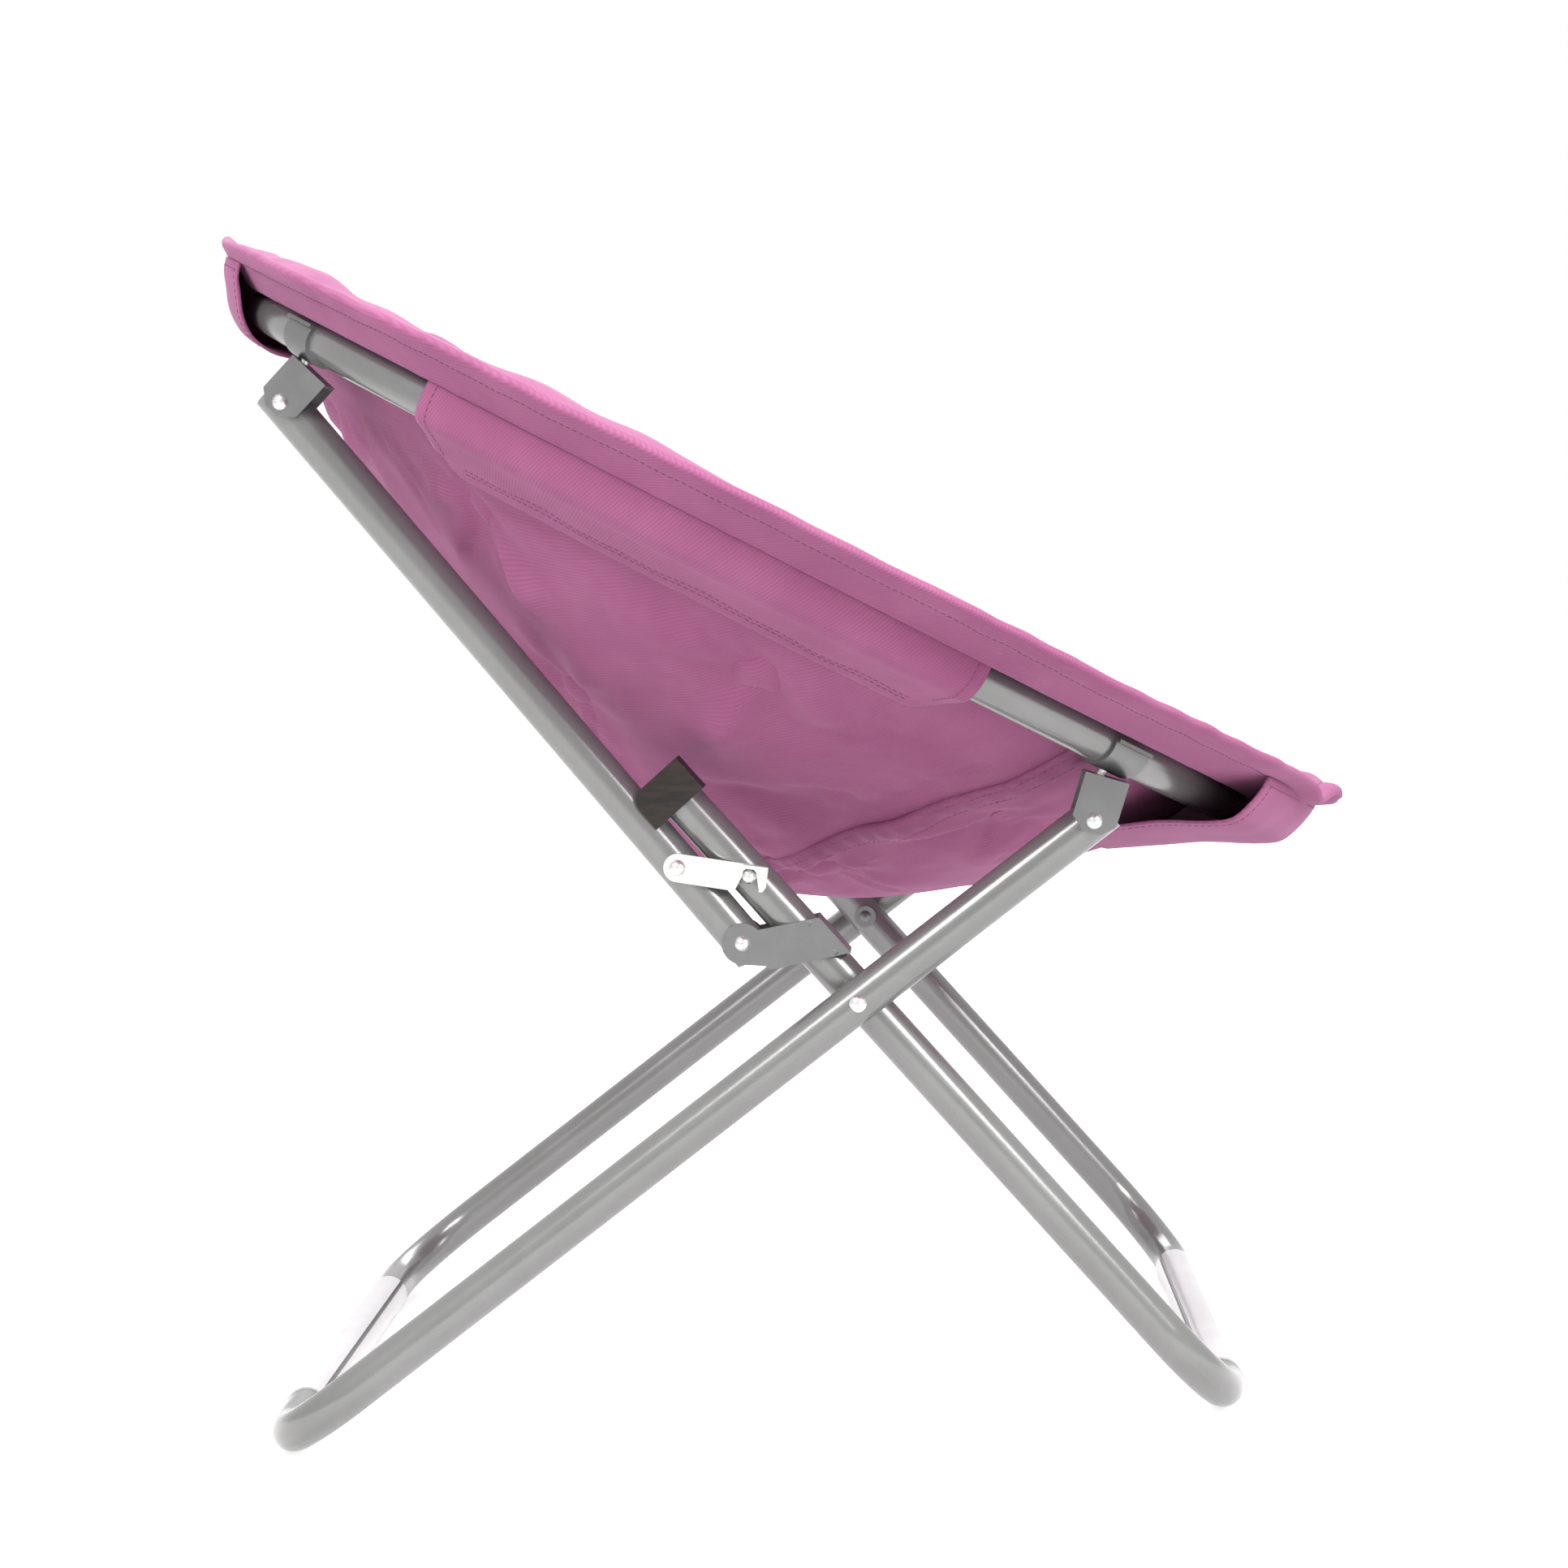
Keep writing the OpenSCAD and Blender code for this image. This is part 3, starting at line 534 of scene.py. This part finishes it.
def seat_pad():
    """The stuffed cover: underside, band, rolled rim and tufted top in one closed skin."""
    bm, ring, turn = pad_layout()
    top = ring >= UNDER_RINGS + len(rim_rings)
    under = ring < UNDER_RINGS
    edge = ~top & ~under
    share = np.where(under, (ring / UNDER_RINGS) ** 0.92, (RINGS - ring) / (TOP_RINGS + 1.0))
    share = np.clip(share, 0, 1)
    x = BOWL_LEAD * (1 - share) + share * BOWL_EDGE_R * np.cos(turn)
    y = share * BOWL_EDGE_R * np.sin(turn)
    n = bowl_height_at(x, y)
    n = n + np.where(under, under_relief(x, y), PAD_T + top_relief(x, y))

    section = rim_rings[np.clip(ring - UNDER_RINGS, 0, len(rim_rings) - 1)]
    late = (ring - UNDER_RINGS) / len(rim_rings)
    # The stuffed edge is lumpy, most on the far side and at the back
    lump = 0.0008 + 0.0030 * window(turn, -3.0, -1.5) + 0.0042 * window(turn, 0.4, 2.75)
    lobes = (0.5 + 0.5 * np.cos(9 * turn + math.pi + 0.6 * np.sin(2 * turn))) ** 1.2
    lobes = lobes + 0.25 * np.cos(23 * turn + 0.7) + 0.15 * np.cos(37 * turn + 2.0)
    swell = lump * lobes
    bulge = np.clip((late - 0.53) / 0.16, 0, 1) ** 1.5
    inward = BOWL_EDGE_R - np.hypot(x, y)
    n = n + np.where(top, swell * np.exp(-((inward / 0.045) ** 2)), 0)
    wander = slow_noise(np.cos(turn), np.sin(turn), 0.22, 2.0)
    ripple = slow_noise(np.cos(turn), np.sin(turn), 0.055, 6.0)
    near_rim = np.clip((section[:, 0] - HOOP_R - 0.014) / 0.030, 0, 1)
    reach, rise = rim_tips(turn)
    height = section[:, 1] + bulge * swell + near_rim * (0.0011 * wander + 0.0006 * ripple + rise)
    radius = section[:, 0] + near_rim * (0.0009 * ripple + reach)
    # Gathers along the band, deeper in some runs than in others
    band = np.exp(-(((section[:, 0] - HOOP_R - 0.028) / 0.011) ** 2)) * (late < 0.45)
    crease = np.maximum(0, np.sin(58 * turn + 5 * np.sin(3 * turn))) ** 3
    height = height - 0.0013 * band * crease * np.clip(0.2 + wander, 0, 1)
    rim_x, rim_y, rim_n = lean_rim(radius, turn, height)
    x = np.where(edge, rim_x, x)
    y = np.where(edge, rim_y, y)
    n = np.where(edge, rim_n, n)
    places = np.stack([x, y, n], 1)
    move_to(bm, places)
    lay_flat_uv(bm, places[:, :2])
    made = piece("seat_pad", bm, PAD_CLOTH)
    settle_cloth(made, sewn_down(places, ring))
    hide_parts("seat_cover")
    crumple(made)
    return places, ring


def sewn_down(places, ring):
    """How firmly the cover is held: 1 at tufts, seams, hoop and rim, 0 in the open between them."""
    x = places[:, 0]
    y = places[:, 1]
    radius = np.hypot(x, y)
    tufts = np.clip((tuft_near(x, y, 0.020) - 0.35) * 2.5, 0, 1)
    hem = np.where(np.abs(np.arctan2(y, x)) < FRONT_SWEEP + 0.03, 0.068, 0.046)
    top = ring >= UNDER_RINGS + len(rim_rings)
    inward = np.where(top, 0.045, hem + 0.012)
    edge = np.clip((radius - HOOP_R + inward) / np.where(top, 0.030, 0.012), 0, 1)
    away = np.abs(np.hypot(x - WELT_MID_X, y) - WELT_R)
    along = np.abs(np.arctan2(y, WELT_MID_X - x)) < WELT_SWEEP + 0.05
    welt = np.where(along & ~top, np.clip((0.026 - away) / 0.008, 0, 1), 0)
    return np.maximum.reduce([tufts, edge, welt])


def settle_cloth(made, held):
    """Lets the stuffed cover puff up and crease between the places where it is held."""
    flat = np.empty(len(made.data.vertices) * 3)
    made.data.vertices.foreach_get("co", flat)
    start = flat.reshape(-1, 3).copy()
    group = made.vertex_groups.new(name="sewn")
    for level in range(1, HELD_LEVELS + 1):
        chosen = np.nonzero(np.rint(held * HELD_LEVELS) == level)[0]
        if len(chosen):
            group.add(chosen.tolist(), level / HELD_LEVELS, "REPLACE")
    settled = made.modifiers.new("pad_cloth", "CLOTH")
    for key, value in PAD_SETTINGS.items():
        setattr(settled.settings, key, value)
    settled.settings.effector_weights.gravity = 0
    settled.collision_settings.use_collision = False
    settled.point_cache.frame_end = SETTLE_FRAMES
    for at in range(1, SETTLE_FRAMES + 1):
        bpy.context.scene.frame_set(at)
    shown = made.evaluated_get(bpy.context.evaluated_depsgraph_get())
    shown.data.vertices.foreach_get("co", flat)
    moved = flat.reshape(-1, 3) - start
    far = np.maximum(np.linalg.norm(moved, axis=1), 1e-9)[:, None]
    places = start + moved / far * SETTLE_MOST * np.tanh(far / SETTLE_MOST)
    made.modifiers.remove(settled)
    made.vertex_groups.clear()
    bpy.context.scene.frame_set(1)
    made.data.vertices.foreach_set("co", places.ravel())
    made.data.update()


# Waves of the rim near its front and its back: height, place as an angle, and width
FRONT_WAVES = [(-0.0062, -0.36, 0.060), (0.0042, -0.25, 0.060), (-0.0030, -0.07, 0.070),
               (0.0036, 0.14, 0.070), (-0.0040, 0.31, 0.065)]
BACK_WAVES = [(0.0026, -0.10, 0.060), (-0.0034, 0.06, 0.060), (0.0022, 0.22, 0.070)]


def wave(angle, middle, width):
    """A single smooth wave, 1 at its middle."""
    return np.exp(-(((angle - middle) / width) ** 2))


def rim_tips(turn):
    """The rim's wild ends: waves at the front tip and two lobes at the back."""
    back = (turn + 2 * math.pi) % (2 * math.pi) - math.pi
    rise = sum(tall * wave(turn, at, wide) for tall, at, wide in FRONT_WAVES)
    rise = rise + sum(tall * wave(back, at, wide) for tall, at, wide in BACK_WAVES)
    reach = 0.0024 * wave(turn, -0.02, 0.05) + 0.0030 * wave(back, 0.02, 0.05)
    return reach, rise


pad_places, pad_ring_of = seat_pad()


SLEEVE_T = 0.0014
POCKET_T = 0.0016
SECTION_STEP = 0.003
SPIN_STEP = 0.0032


def hoop_cloth(name, start, end, section, thick, replaces, fold, corner=0.0):
    """Cloth that follows a section round the hoop from one azimuth to another.

    It gives back a function that finds the places on the cloth.
    """
    path = smooth_path(section, SECTION_STEP)
    bm = bmesh.new()
    line = [bm.verts.new((r, 0, h)) for r, h in path]
    for a, b in zip(line, line[1:]):
        bm.edges.new((a, b))
    steps = int(round(abs(end - start) * HOOP_R / SPIN_STEP))
    bmesh.ops.rotate(bm, verts=bm.verts, cent=(0, 0, 0), matrix=Matrix.Rotation(start, 3, "Z"))
    bmesh.ops.spin(bm, geom=bm.verts[:] + bm.edges[:], cent=(0, 0, 0), axis=(0, 0, 1),
                   angle=end - start, steps=steps)
    bmesh.ops.remove_doubles(bm, verts=bm.verts, dist=1e-6)
    bm.verts.index_update()
    co = coordinates(bm)
    azimuth = np.arctan2(co[:, 1], co[:, 0])
    middle = (start + end) / 2
    azimuth = (azimuth - middle + math.pi) % (2 * math.pi) - math.pi + middle
    radius = np.hypot(co[:, 0], co[:, 1])
    run = np.r_[0, np.cumsum(np.linalg.norm(np.diff(path, axis=0), axis=1))]
    aside = radius[:, None] - path[None, :, 0]
    above = co[:, 2, None] - path[None, :, 1]
    down = run[np.argmin(np.hypot(aside, above), axis=1)]
    places = cloth_places(path, run, start, end, azimuth, down, fold, corner)
    move_to(bm, places)
    lay_flat_uv(bm, np.stack([azimuth * HOOP_R, down], 1))
    bmesh.ops.recalc_face_normals(bm, faces=bm.faces)
    made = piece(name, bm, SLEEVE_CLOTH)
    wall = made.modifiers.new("cloth_thickness", "SOLIDIFY")
    wall.thickness = thick
    wall.offset = 0.0
    apply_modifiers(made)
    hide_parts(replaces)

    def place_at(turn, depth):
        return cloth_places(path, run, start, end, np.array(turn), np.array(depth), fold, corner)

    return place_at


def cloth_places(path, run, start, end, azimuth, down, fold, corner):
    """Places on a hoop cloth, given by azimuth and by the run down its section."""
    share = (azimuth - start) / (end - start)
    down = np.clip(down, 0, run[-1])
    if corner:
        # The lower corners are rounded: the cloth there ends higher up
        side = np.minimum(share, 1 - share) * abs(end - start) * HOOP_R
        short = corner - np.sqrt(np.maximum(0, corner**2 - np.maximum(0, corner - side) ** 2))
        reach = down / run[-1]
        kept = down * (1 - short * np.clip((reach - 0.5) * 2, 0, 1) / run[-1])
    else:
        kept = down
    radius = np.interp(kept, run, path[:, 0])
    height = np.interp(kept, run, path[:, 1])
    shift_r, shift_n = fold(share, down / run[-1], azimuth)
    return np.stack(lean_rim(radius + shift_r, azimuth, height + shift_n), 1)


# Side sleeves: sewn to the band beside the hoop, tight round the tube, sewn to the bowl
SIDE_FROM = math.radians(64)
SIDE_TO = math.radians(121)
SLEEVE_CORNER = 0.018
SIDE_SECTION = [
    (HOOP_R + 0.0145, 0.0125), (HOOP_R + 0.0154, 0.0088), (HOOP_R + 0.0156, 0.0040),
    (HOOP_R + 0.0152, -0.0030), (HOOP_R + 0.0130, -0.0092), (HOOP_R + 0.0098, -0.0133),
    (HOOP_R + 0.0050, -0.0150), (HOOP_R - 0.0040, -0.0178), (HOOP_R - 0.0150, -0.0214),
    (HOOP_R - 0.0270, -0.0264), (HOOP_R - 0.0365, -0.0322),
]


def sleeve_fold(share, down, azimuth):
    """Soft sag between the tube and the lower seam, and a pinched crease below the tube."""
    sag = np.exp(-(((down - 0.72) / 0.16) ** 2))
    pinch = np.exp(-(((down - 0.44) / 0.035) ** 2)) * np.clip(3.5 * share * (1 - share), 0, 1)
    ripple = 0.0007 * np.cos(azimuth * 40) + 0.0010 * np.cos(azimuth * 17 + 1)
    return -0.0006 * sag + ripple * sag + 0.0007 * pinch, (-0.0012 + ripple) * sag - 0.0008 * pinch


sleeves = {}
for side, label in ((-1, "right"), (1, "left")):
    sleeves[side] = hoop_cloth("side_sleeve_cloth_" + label, side * SIDE_FROM, side * SIDE_TO,
                               SIDE_SECTION, SLEEVE_T, "side_sleeve_" + label, sleeve_fold,
                               corner=SLEEVE_CORNER)

# Front and rear pockets hang from the rim and catch the hoop
REAR_FROM = math.radians(154)
REAR_TO = math.radians(206)
FRONT_SECTION = [
    (HOOP_R + 0.0430, 0.0268), (HOOP_R + 0.0425, 0.0170), (HOOP_R + 0.0402, 0.0055),
    (HOOP_R + 0.0362, -0.0050), (HOOP_R + 0.0285, -0.0118), (HOOP_R + 0.0150, -0.0200),
    (HOOP_R - 0.0020, -0.0285), (HOOP_R - 0.0200, -0.0400), (HOOP_R - 0.0380, -0.0515),
    (HOOP_R - 0.0530, -0.0612),
]
REAR_SECTION = [
    (HOOP_R + 0.0425, 0.0262), (HOOP_R + 0.0398, 0.0180), (HOOP_R + 0.0325, 0.0080),
    (HOOP_R + 0.0245, -0.0030), (HOOP_R + 0.0165, -0.0112), (HOOP_R + 0.0078, -0.0170),
    (HOOP_R - 0.0050, -0.0196), (HOOP_R - 0.0170, -0.0180), (HOOP_R - 0.0260, -0.0148),
]


def pocket_fold(share, down, azimuth):
    """A loose hang, ruffled below the rim and taut where it meets the bowl."""
    loose = np.sin(np.clip(down, 0, 1) * math.pi)
    ripple = 0.0009 * np.cos(azimuth * 23) + 0.0006 * np.cos(azimuth * 41 + 0.6)
    return ripple * loose, -0.0010 * loose + 0.5 * ripple * loose


front_pocket = hoop_cloth("front_pocket_cloth", -FRONT_SWEEP, FRONT_SWEEP, FRONT_SECTION, POCKET_T,
                          "front_pocket", pocket_fold)
rear_pocket = hoop_cloth("rear_pocket_cloth", REAR_FROM, REAR_TO, REAR_SECTION, POCKET_T,
                         "rear_pocket", pocket_fold)


SLOPE_STEP = 0.004


def under_places(x, y):
    """Places on the cover's underside, with the outward direction at each."""
    x = np.asarray(x, float)
    y = np.asarray(y, float)
    n = bowl_height_at(x, y) + under_relief(x, y)
    d = SLOPE_STEP
    slope_x = (bowl_height_at(x + d, y) - bowl_height_at(x - d, y)) / (2 * d)
    slope_y = (bowl_height_at(x, y + d) - bowl_height_at(x, y - d)) / (2 * d)
    out = np.stack([slope_x, slope_y, -np.ones_like(x)], 1)
    return np.stack([x, y, n], 1), out / np.linalg.norm(out, axis=1)[:, None]


PATCH_R = 0.0086
PATCH_FLAT = 0.13
PATCH_ROLL = 0.0004
PATCH_PRICK = 0.0010
PATCH_LIFT = 0.0004


def tuft_patches():
    """A flat round patch at each tuft, with a rolled edge and a pin prick in the middle."""
    bm = bmesh.new()
    middles, outs = under_places(*TUFTS.T)
    for middle, out in zip(middles, outs):
        before = set(bm.verts)
        bmesh.ops.create_uvsphere(bm, u_segments=32, v_segments=18, radius=PATCH_R)
        fresh = [v for v in bm.verts if v not in before]
        for v in fresh:
            far = math.hypot(v.co.x, v.co.y) / PATCH_R
            front = v.co.z > 0
            edge = math.exp(-(((far - 0.90) / 0.08) ** 2))
            v.co.z = v.co.z * PATCH_FLAT
            if front:
                v.co.z += PATCH_ROLL * edge - PATCH_PRICK * math.exp(-((far / 0.09) ** 2))
        out = Vector(out)
        turn = out.to_track_quat("Z", "Y").to_matrix().to_4x4()
        place = Matrix.Translation(Vector(middle) + out * PATCH_LIFT) @ turn
        bmesh.ops.transform(bm, matrix=place, verts=fresh)
    lay_flat_uv(bm, coordinates(bm)[:, :2])
    made = piece("tuft_patches", bm, PAD_CLOTH)
    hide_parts("tuft_buttons")
    crumple(made)


tuft_patches()


WELT_ROWS = 340
WELT_SECTION = [
    (-0.0070, -0.0014), (-0.0076, 0.0024), (-0.0050, 0.0043), (0.0004, 0.0046),
    (0.0056, 0.0038), (0.0080, 0.0020), (0.0074, -0.0014),
]


def welt_line(count, aside=0.0):
    """Places along the welt's arc, with the outward direction at each."""
    angle = np.linspace(math.pi - WELT_SWEEP, math.pi + WELT_SWEEP, count)
    radius = WELT_R + aside
    return under_places(WELT_MID_X + radius * np.cos(angle), radius * np.sin(angle))


def seat_welt():
    """A folded, gathered strip over the seam between the front panel and the bowl."""
    places, outs = welt_line(WELT_ROWS + 1)
    runs = np.gradient(places, axis=0)
    bm = bmesh.new()
    loops = []
    for row in range(WELT_ROWS + 1):
        place = Vector(places[row])
        out = Vector(outs[row])
        across = out.cross(Vector(runs[row])).normalized()
        gather = 1 + 0.14 * math.cos(row * 0.95) + 0.10 * math.cos(row * 0.41 + 1)
        sway = 0.0007 * math.cos(row * 0.13)
        loop = []
        for wide, high in WELT_SECTION:
            puffed = gather if high > 0.001 else 1
            loop.append(bm.verts.new(place + across * (wide + sway) + out * high * puffed))
        loops.append(loop)
    edges = [[bm.edges.new((a, b)) for a, b in zip(loop, loop[1:] + loop[:1])] for loop in loops]
    for first, second in zip(edges, edges[1:]):
        bmesh.ops.bridge_loops(bm, edges=first + second)
    bmesh.ops.holes_fill(bm, edges=edges[0] + edges[-1], sides=0)
    bmesh.ops.recalc_face_normals(bm, faces=bm.faces)
    lay_flat_uv(bm, coordinates(bm)[:, :2])
    # The welt's cloth carries painted shade: it is a darker copy of the twill.
    made = piece("seat_welt_strip", bm, WELT_SHADED_CLOTH)
    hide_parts("seat_welt")
    crumple(made)


seat_welt()


STITCH_PITCH = 0.0042
STITCH_GAP = 0.0011
STITCH_R = 0.00025
STITCH_BATCH = 60
STITCH_LIFT = 0.0003


def stitch_row(whole, places, outs):
    """Short raised stitches along a row of places, made a few at a time."""
    run = np.r_[0, np.cumsum(np.linalg.norm(np.diff(places, axis=0), axis=1))]
    starts = np.arange(0, run[-1] - STITCH_PITCH, STITCH_PITCH)
    for first in range(0, len(starts), STITCH_BATCH):
        few = bmesh.new()
        for s in starts[first : first + STITCH_BATCH]:
            ends = [Vector([np.interp(at, run, places[:, j]) for j in range(3)])
                    for at in (s, s + STITCH_PITCH - STITCH_GAP)]
            out = Vector([np.interp(s, run, outs[:, j]) for j in range(3)]).normalized()
            along = ends[1] - ends[0]
            side = along.cross(out).normalized()
            made = bmesh.ops.create_icosphere(few, subdivisions=1, radius=1.0)["verts"]
            turn = Matrix((along * 0.55, side * STITCH_R, out * STITCH_R * 0.8)).transposed()
            place = Matrix.Translation((ends[0] + ends[1]) / 2) @ turn.to_4x4()
            bmesh.ops.transform(few, matrix=place, verts=made)
        mesh = bpy.data.meshes.new("few_stitches")
        few.to_mesh(mesh)
        few.free()
        whole.from_mesh(mesh)
        bpy.data.meshes.remove(mesh)


def rim_row(radius, height, out):
    """A row on the cover's own skin along the ring nearest a place in the rim's section."""
    off = np.hypot(rim_rings[:, 0] - radius, rim_rings[:, 1] - height)
    row = pad_places[pad_ring_of == UNDER_RINGS + int(np.argmin(off))]
    turn = np.arctan2(row[:, 1], row[:, 0])
    row = row[np.argsort(turn)]
    row = np.vstack([row, row[:1]])
    turn = np.arctan2(row[:, 1], row[:, 0])
    outs = np.stack([out[0] * np.cos(turn), out[0] * np.sin(turn), np.full_like(turn, out[1])], 1)
    return row + outs * STITCH_LIFT, outs


def cloth_row(cloth_place, azimuth, depth, lift=0.0011):
    """A row on a hoop cloth, on the side turned away from the hoop's tube."""
    azimuth, depth = np.broadcast_arrays(np.asarray(azimuth, float), np.asarray(depth, float))
    places = cloth_place(azimuth, depth)
    aside = cloth_place(azimuth + 0.004, depth) - cloth_place(azimuth - 0.004, depth)
    down = cloth_place(azimuth, depth + 0.0015) - cloth_place(azimuth, depth - 0.0015)
    outs = np.cross(aside, down)
    tube = np.stack([HOOP_R * np.cos(azimuth), HOOP_R * np.sin(azimuth), 0 * azimuth], 1)
    outs *= np.sign((outs * (places - tube)).sum(1))[:, None]
    outs /= np.linalg.norm(outs, axis=1)[:, None]
    return places + outs * lift, outs


def sew():
    """Every visible row of stitches, first on the cover and then on its sleeves and pockets."""
    whole = bmesh.new()
    stitch_row(whole, *rim_row(HOOP_R + 0.0414, 0.0262, (0.5, -0.85)))
    stitch_row(whole, *rim_row(HOOP_R + 0.0415, 0.0344, (0.0, 1.0)))
    for aside in (-0.0046, 0.0048):
        places, outs = welt_line(260, aside)
        stitch_row(whole, places + outs * 0.0045, outs)
    crumple(piece("cover_stitches", whole, THREAD))
    whole = bmesh.new()
    for side, place in sleeves.items():
        start = side * (SIDE_FROM + 0.010)
        end = side * (SIDE_TO - 0.010)
        inset = side * 0.0075 / HOOP_R
        stitch_row(whole, *cloth_row(place, np.linspace(start, end, 220), 0.0030))
        for depth in (0.0642, 0.0690):
            low = np.linspace(side * (SIDE_FROM + 0.045), side * (SIDE_TO - 0.045), 220)
            stitch_row(whole, *cloth_row(place, low, depth))
        for at in (side * SIDE_FROM + inset, side * SIDE_TO - inset):
            stitch_row(whole, *cloth_row(place, np.full(60, at), np.linspace(0.004, 0.058, 60)))
    for place, start, end, deep in ((front_pocket, -FRONT_SWEEP, FRONT_SWEEP, 0.116),
                                    (rear_pocket, REAR_FROM, REAR_TO, 0.072)):
        inset = 0.008 / (HOOP_R + 0.04)
        stitch_row(whole, *cloth_row(place, np.linspace(start + 0.01, end - 0.01, 200), 0.0050))
        for at in (start + inset, end - inset):
            depth = np.linspace(0.004, deep - 0.006, 90)
            stitch_row(whole, *cloth_row(place, np.full(90, at), depth))
    piece("sleeve_stitches", whole, THREAD)


sew()


def background_rays(nodes, links):
    """1 for the rays that should see the white background: camera, glossy and through plastic."""
    ray = nodes.new("ShaderNodeLightPath")
    shared = ray.outputs["Is Camera Ray"]
    for name in ("Is Glossy Ray", "Is Transmission Ray"):
        either = nodes.new("ShaderNodeMath")
        either.operation = "MAXIMUM"
        links.new(shared, either.inputs[0])
        links.new(ray.outputs[name], either.inputs[1])
        shared = either.outputs[0]
    return shared


FLOOR_REACH = 30
FLOOR_WHITE = (0.86, 0.86, 0.86, 1)
FLOOR_BOUNCE = (0.62, 0.62, 0.62, 1)
FLOOR_GLOW = 0.66
WHITE = (1, 1, 1, 1)

# The room's light on the chair, from low down to overhead
ROOM_HEIGHTS = (0.15, 0.75)
ROOM_LIGHTS = (0.96, 0.40)

# Each lamp's place, its length and width in metres, and its power in watts
LAMPS = (
    ("key_lamp", (-1.5, -2.3, 2.6), 1.1, 1.1, 44),
    ("fill_lamp", (2.2, -2.1, 2.0), 1.3, 1.3, 58),
    ("back_lamp", (-0.4, 2.4, 2.4), 1.8, 1.8, 56),
    ("strip_lamp", (0.1, -1.5, 2.7), 3.0, 0.22, 44),
)
LAMP_AIM = Vector((0, 0, 0.4))

# The camera, as fitted to the photograph
CAMERA_PLACE = (0.070327, -1.9446, 0.5040)
CAMERA_RIGHT = Vector((0.998407, 0.036696, -0.042891))
CAMERA_UP = Vector((0.040497, 0.063670, 0.997150))
CAMERA_SENSOR = 36.0
CAMERA_LENS = 67.34


def white_floor():
    """A floor that the background rays see as white, and that gives the chair a softer light."""
    bm = bmesh.new()
    bmesh.ops.create_grid(bm, x_segments=1, y_segments=1, size=FLOOR_REACH)
    mesh = bpy.data.meshes.new("floor")
    bm.to_mesh(mesh)
    bm.free()
    floor = bpy.data.objects.new("floor", mesh)
    bpy.context.scene.collection.objects.link(floor)
    paint = bpy.data.materials.new("white_floor")
    paint.use_nodes = True
    nodes = paint.node_tree.nodes
    links = paint.node_tree.links
    surface = nodes["Principled BSDF"]
    surface.inputs["Base Color"].default_value = FLOOR_WHITE
    surface.inputs["Roughness"].default_value = 0.9
    surface.inputs["Specular IOR Level"].default_value = 0.1
    surface.inputs["Emission Color"].default_value = WHITE
    bright = nodes.new("ShaderNodeEmission")
    bright.inputs["Strength"].default_value = FLOOR_GLOW
    add = nodes.new("ShaderNodeAddShader")
    bounce = nodes.new("ShaderNodeBsdfDiffuse")
    bounce.inputs["Color"].default_value = FLOOR_BOUNCE
    pick = nodes.new("ShaderNodeMixShader")
    out = nodes["Material Output"]
    links.new(surface.outputs[0], add.inputs[0])
    links.new(bright.outputs[0], add.inputs[1])
    links.new(background_rays(nodes, links), pick.inputs[0])
    links.new(bounce.outputs[0], pick.inputs[1])
    links.new(add.outputs[0], pick.inputs[2])
    links.new(pick.outputs[0], out.inputs[0])
    mesh.materials.append(paint)


def white_room():
    """Surroundings that are white to look at and dimmer overhead for the chair's light."""
    world = bpy.data.worlds.new("white_room")
    bpy.context.scene.world = world
    world.use_nodes = True
    nodes = world.node_tree.nodes
    links = world.node_tree.links
    room = nodes["Background"]
    places = nodes.new("ShaderNodeTexCoord")
    split = nodes.new("ShaderNodeSeparateXYZ")
    height = nodes.new("ShaderNodeMapRange")
    height.interpolation_type = "SMOOTHSTEP"
    height.inputs["From Min"].default_value = ROOM_HEIGHTS[0]
    height.inputs["From Max"].default_value = ROOM_HEIGHTS[1]
    height.inputs["To Min"].default_value = ROOM_LIGHTS[0]
    height.inputs["To Max"].default_value = ROOM_LIGHTS[1]
    links.new(places.outputs["Generated"], split.inputs[0])
    links.new(split.outputs[2], height.inputs[0])
    links.new(height.outputs[0], room.inputs["Strength"])
    room.inputs["Color"].default_value = WHITE
    seen = nodes.new("ShaderNodeBackground")
    seen.inputs["Color"].default_value = WHITE
    seen.inputs["Strength"].default_value = 1.0
    pick = nodes.new("ShaderNodeMixShader")
    links.new(background_rays(nodes, links), pick.inputs[0])
    links.new(room.outputs[0], pick.inputs[1])
    links.new(seen.outputs[0], pick.inputs[2])
    links.new(pick.outputs[0], nodes["World Output"].inputs[0])


def soft_lamps():
    """Four soft lamps, all turned to the chair."""
    for name, place, size, wide, power in LAMPS:
        data = bpy.data.lights.new(name, "AREA")
        data.energy = power
        data.shape = "RECTANGLE"
        data.size = size
        data.size_y = wide
        lamp = bpy.data.objects.new(name, data)
        lamp.location = place
        aim = LAMP_AIM - Vector(place)
        lamp.rotation_mode = "QUATERNION"
        lamp.rotation_quaternion = aim.to_track_quat("-Z", "Y")
        bpy.context.scene.collection.objects.link(lamp)


def photo_camera():
    """The photograph's camera and plain colours."""
    data = bpy.data.cameras.new("photo_camera")
    data.sensor_width = CAMERA_SENSOR
    data.lens = CAMERA_LENS
    camera = bpy.data.objects.new("photo_camera", data)
    back = CAMERA_RIGHT.cross(CAMERA_UP).normalized()
    up = back.cross(CAMERA_RIGHT).normalized()
    turn = Matrix((CAMERA_RIGHT, up, back)).transposed().to_4x4()
    camera.matrix_world = Matrix.Translation(CAMERA_PLACE) @ turn
    bpy.context.scene.collection.objects.link(camera)
    bpy.context.scene.camera = camera
    bpy.context.scene.view_settings.view_transform = "Standard"


white_floor()
white_room()
soft_lamps()
photo_camera()
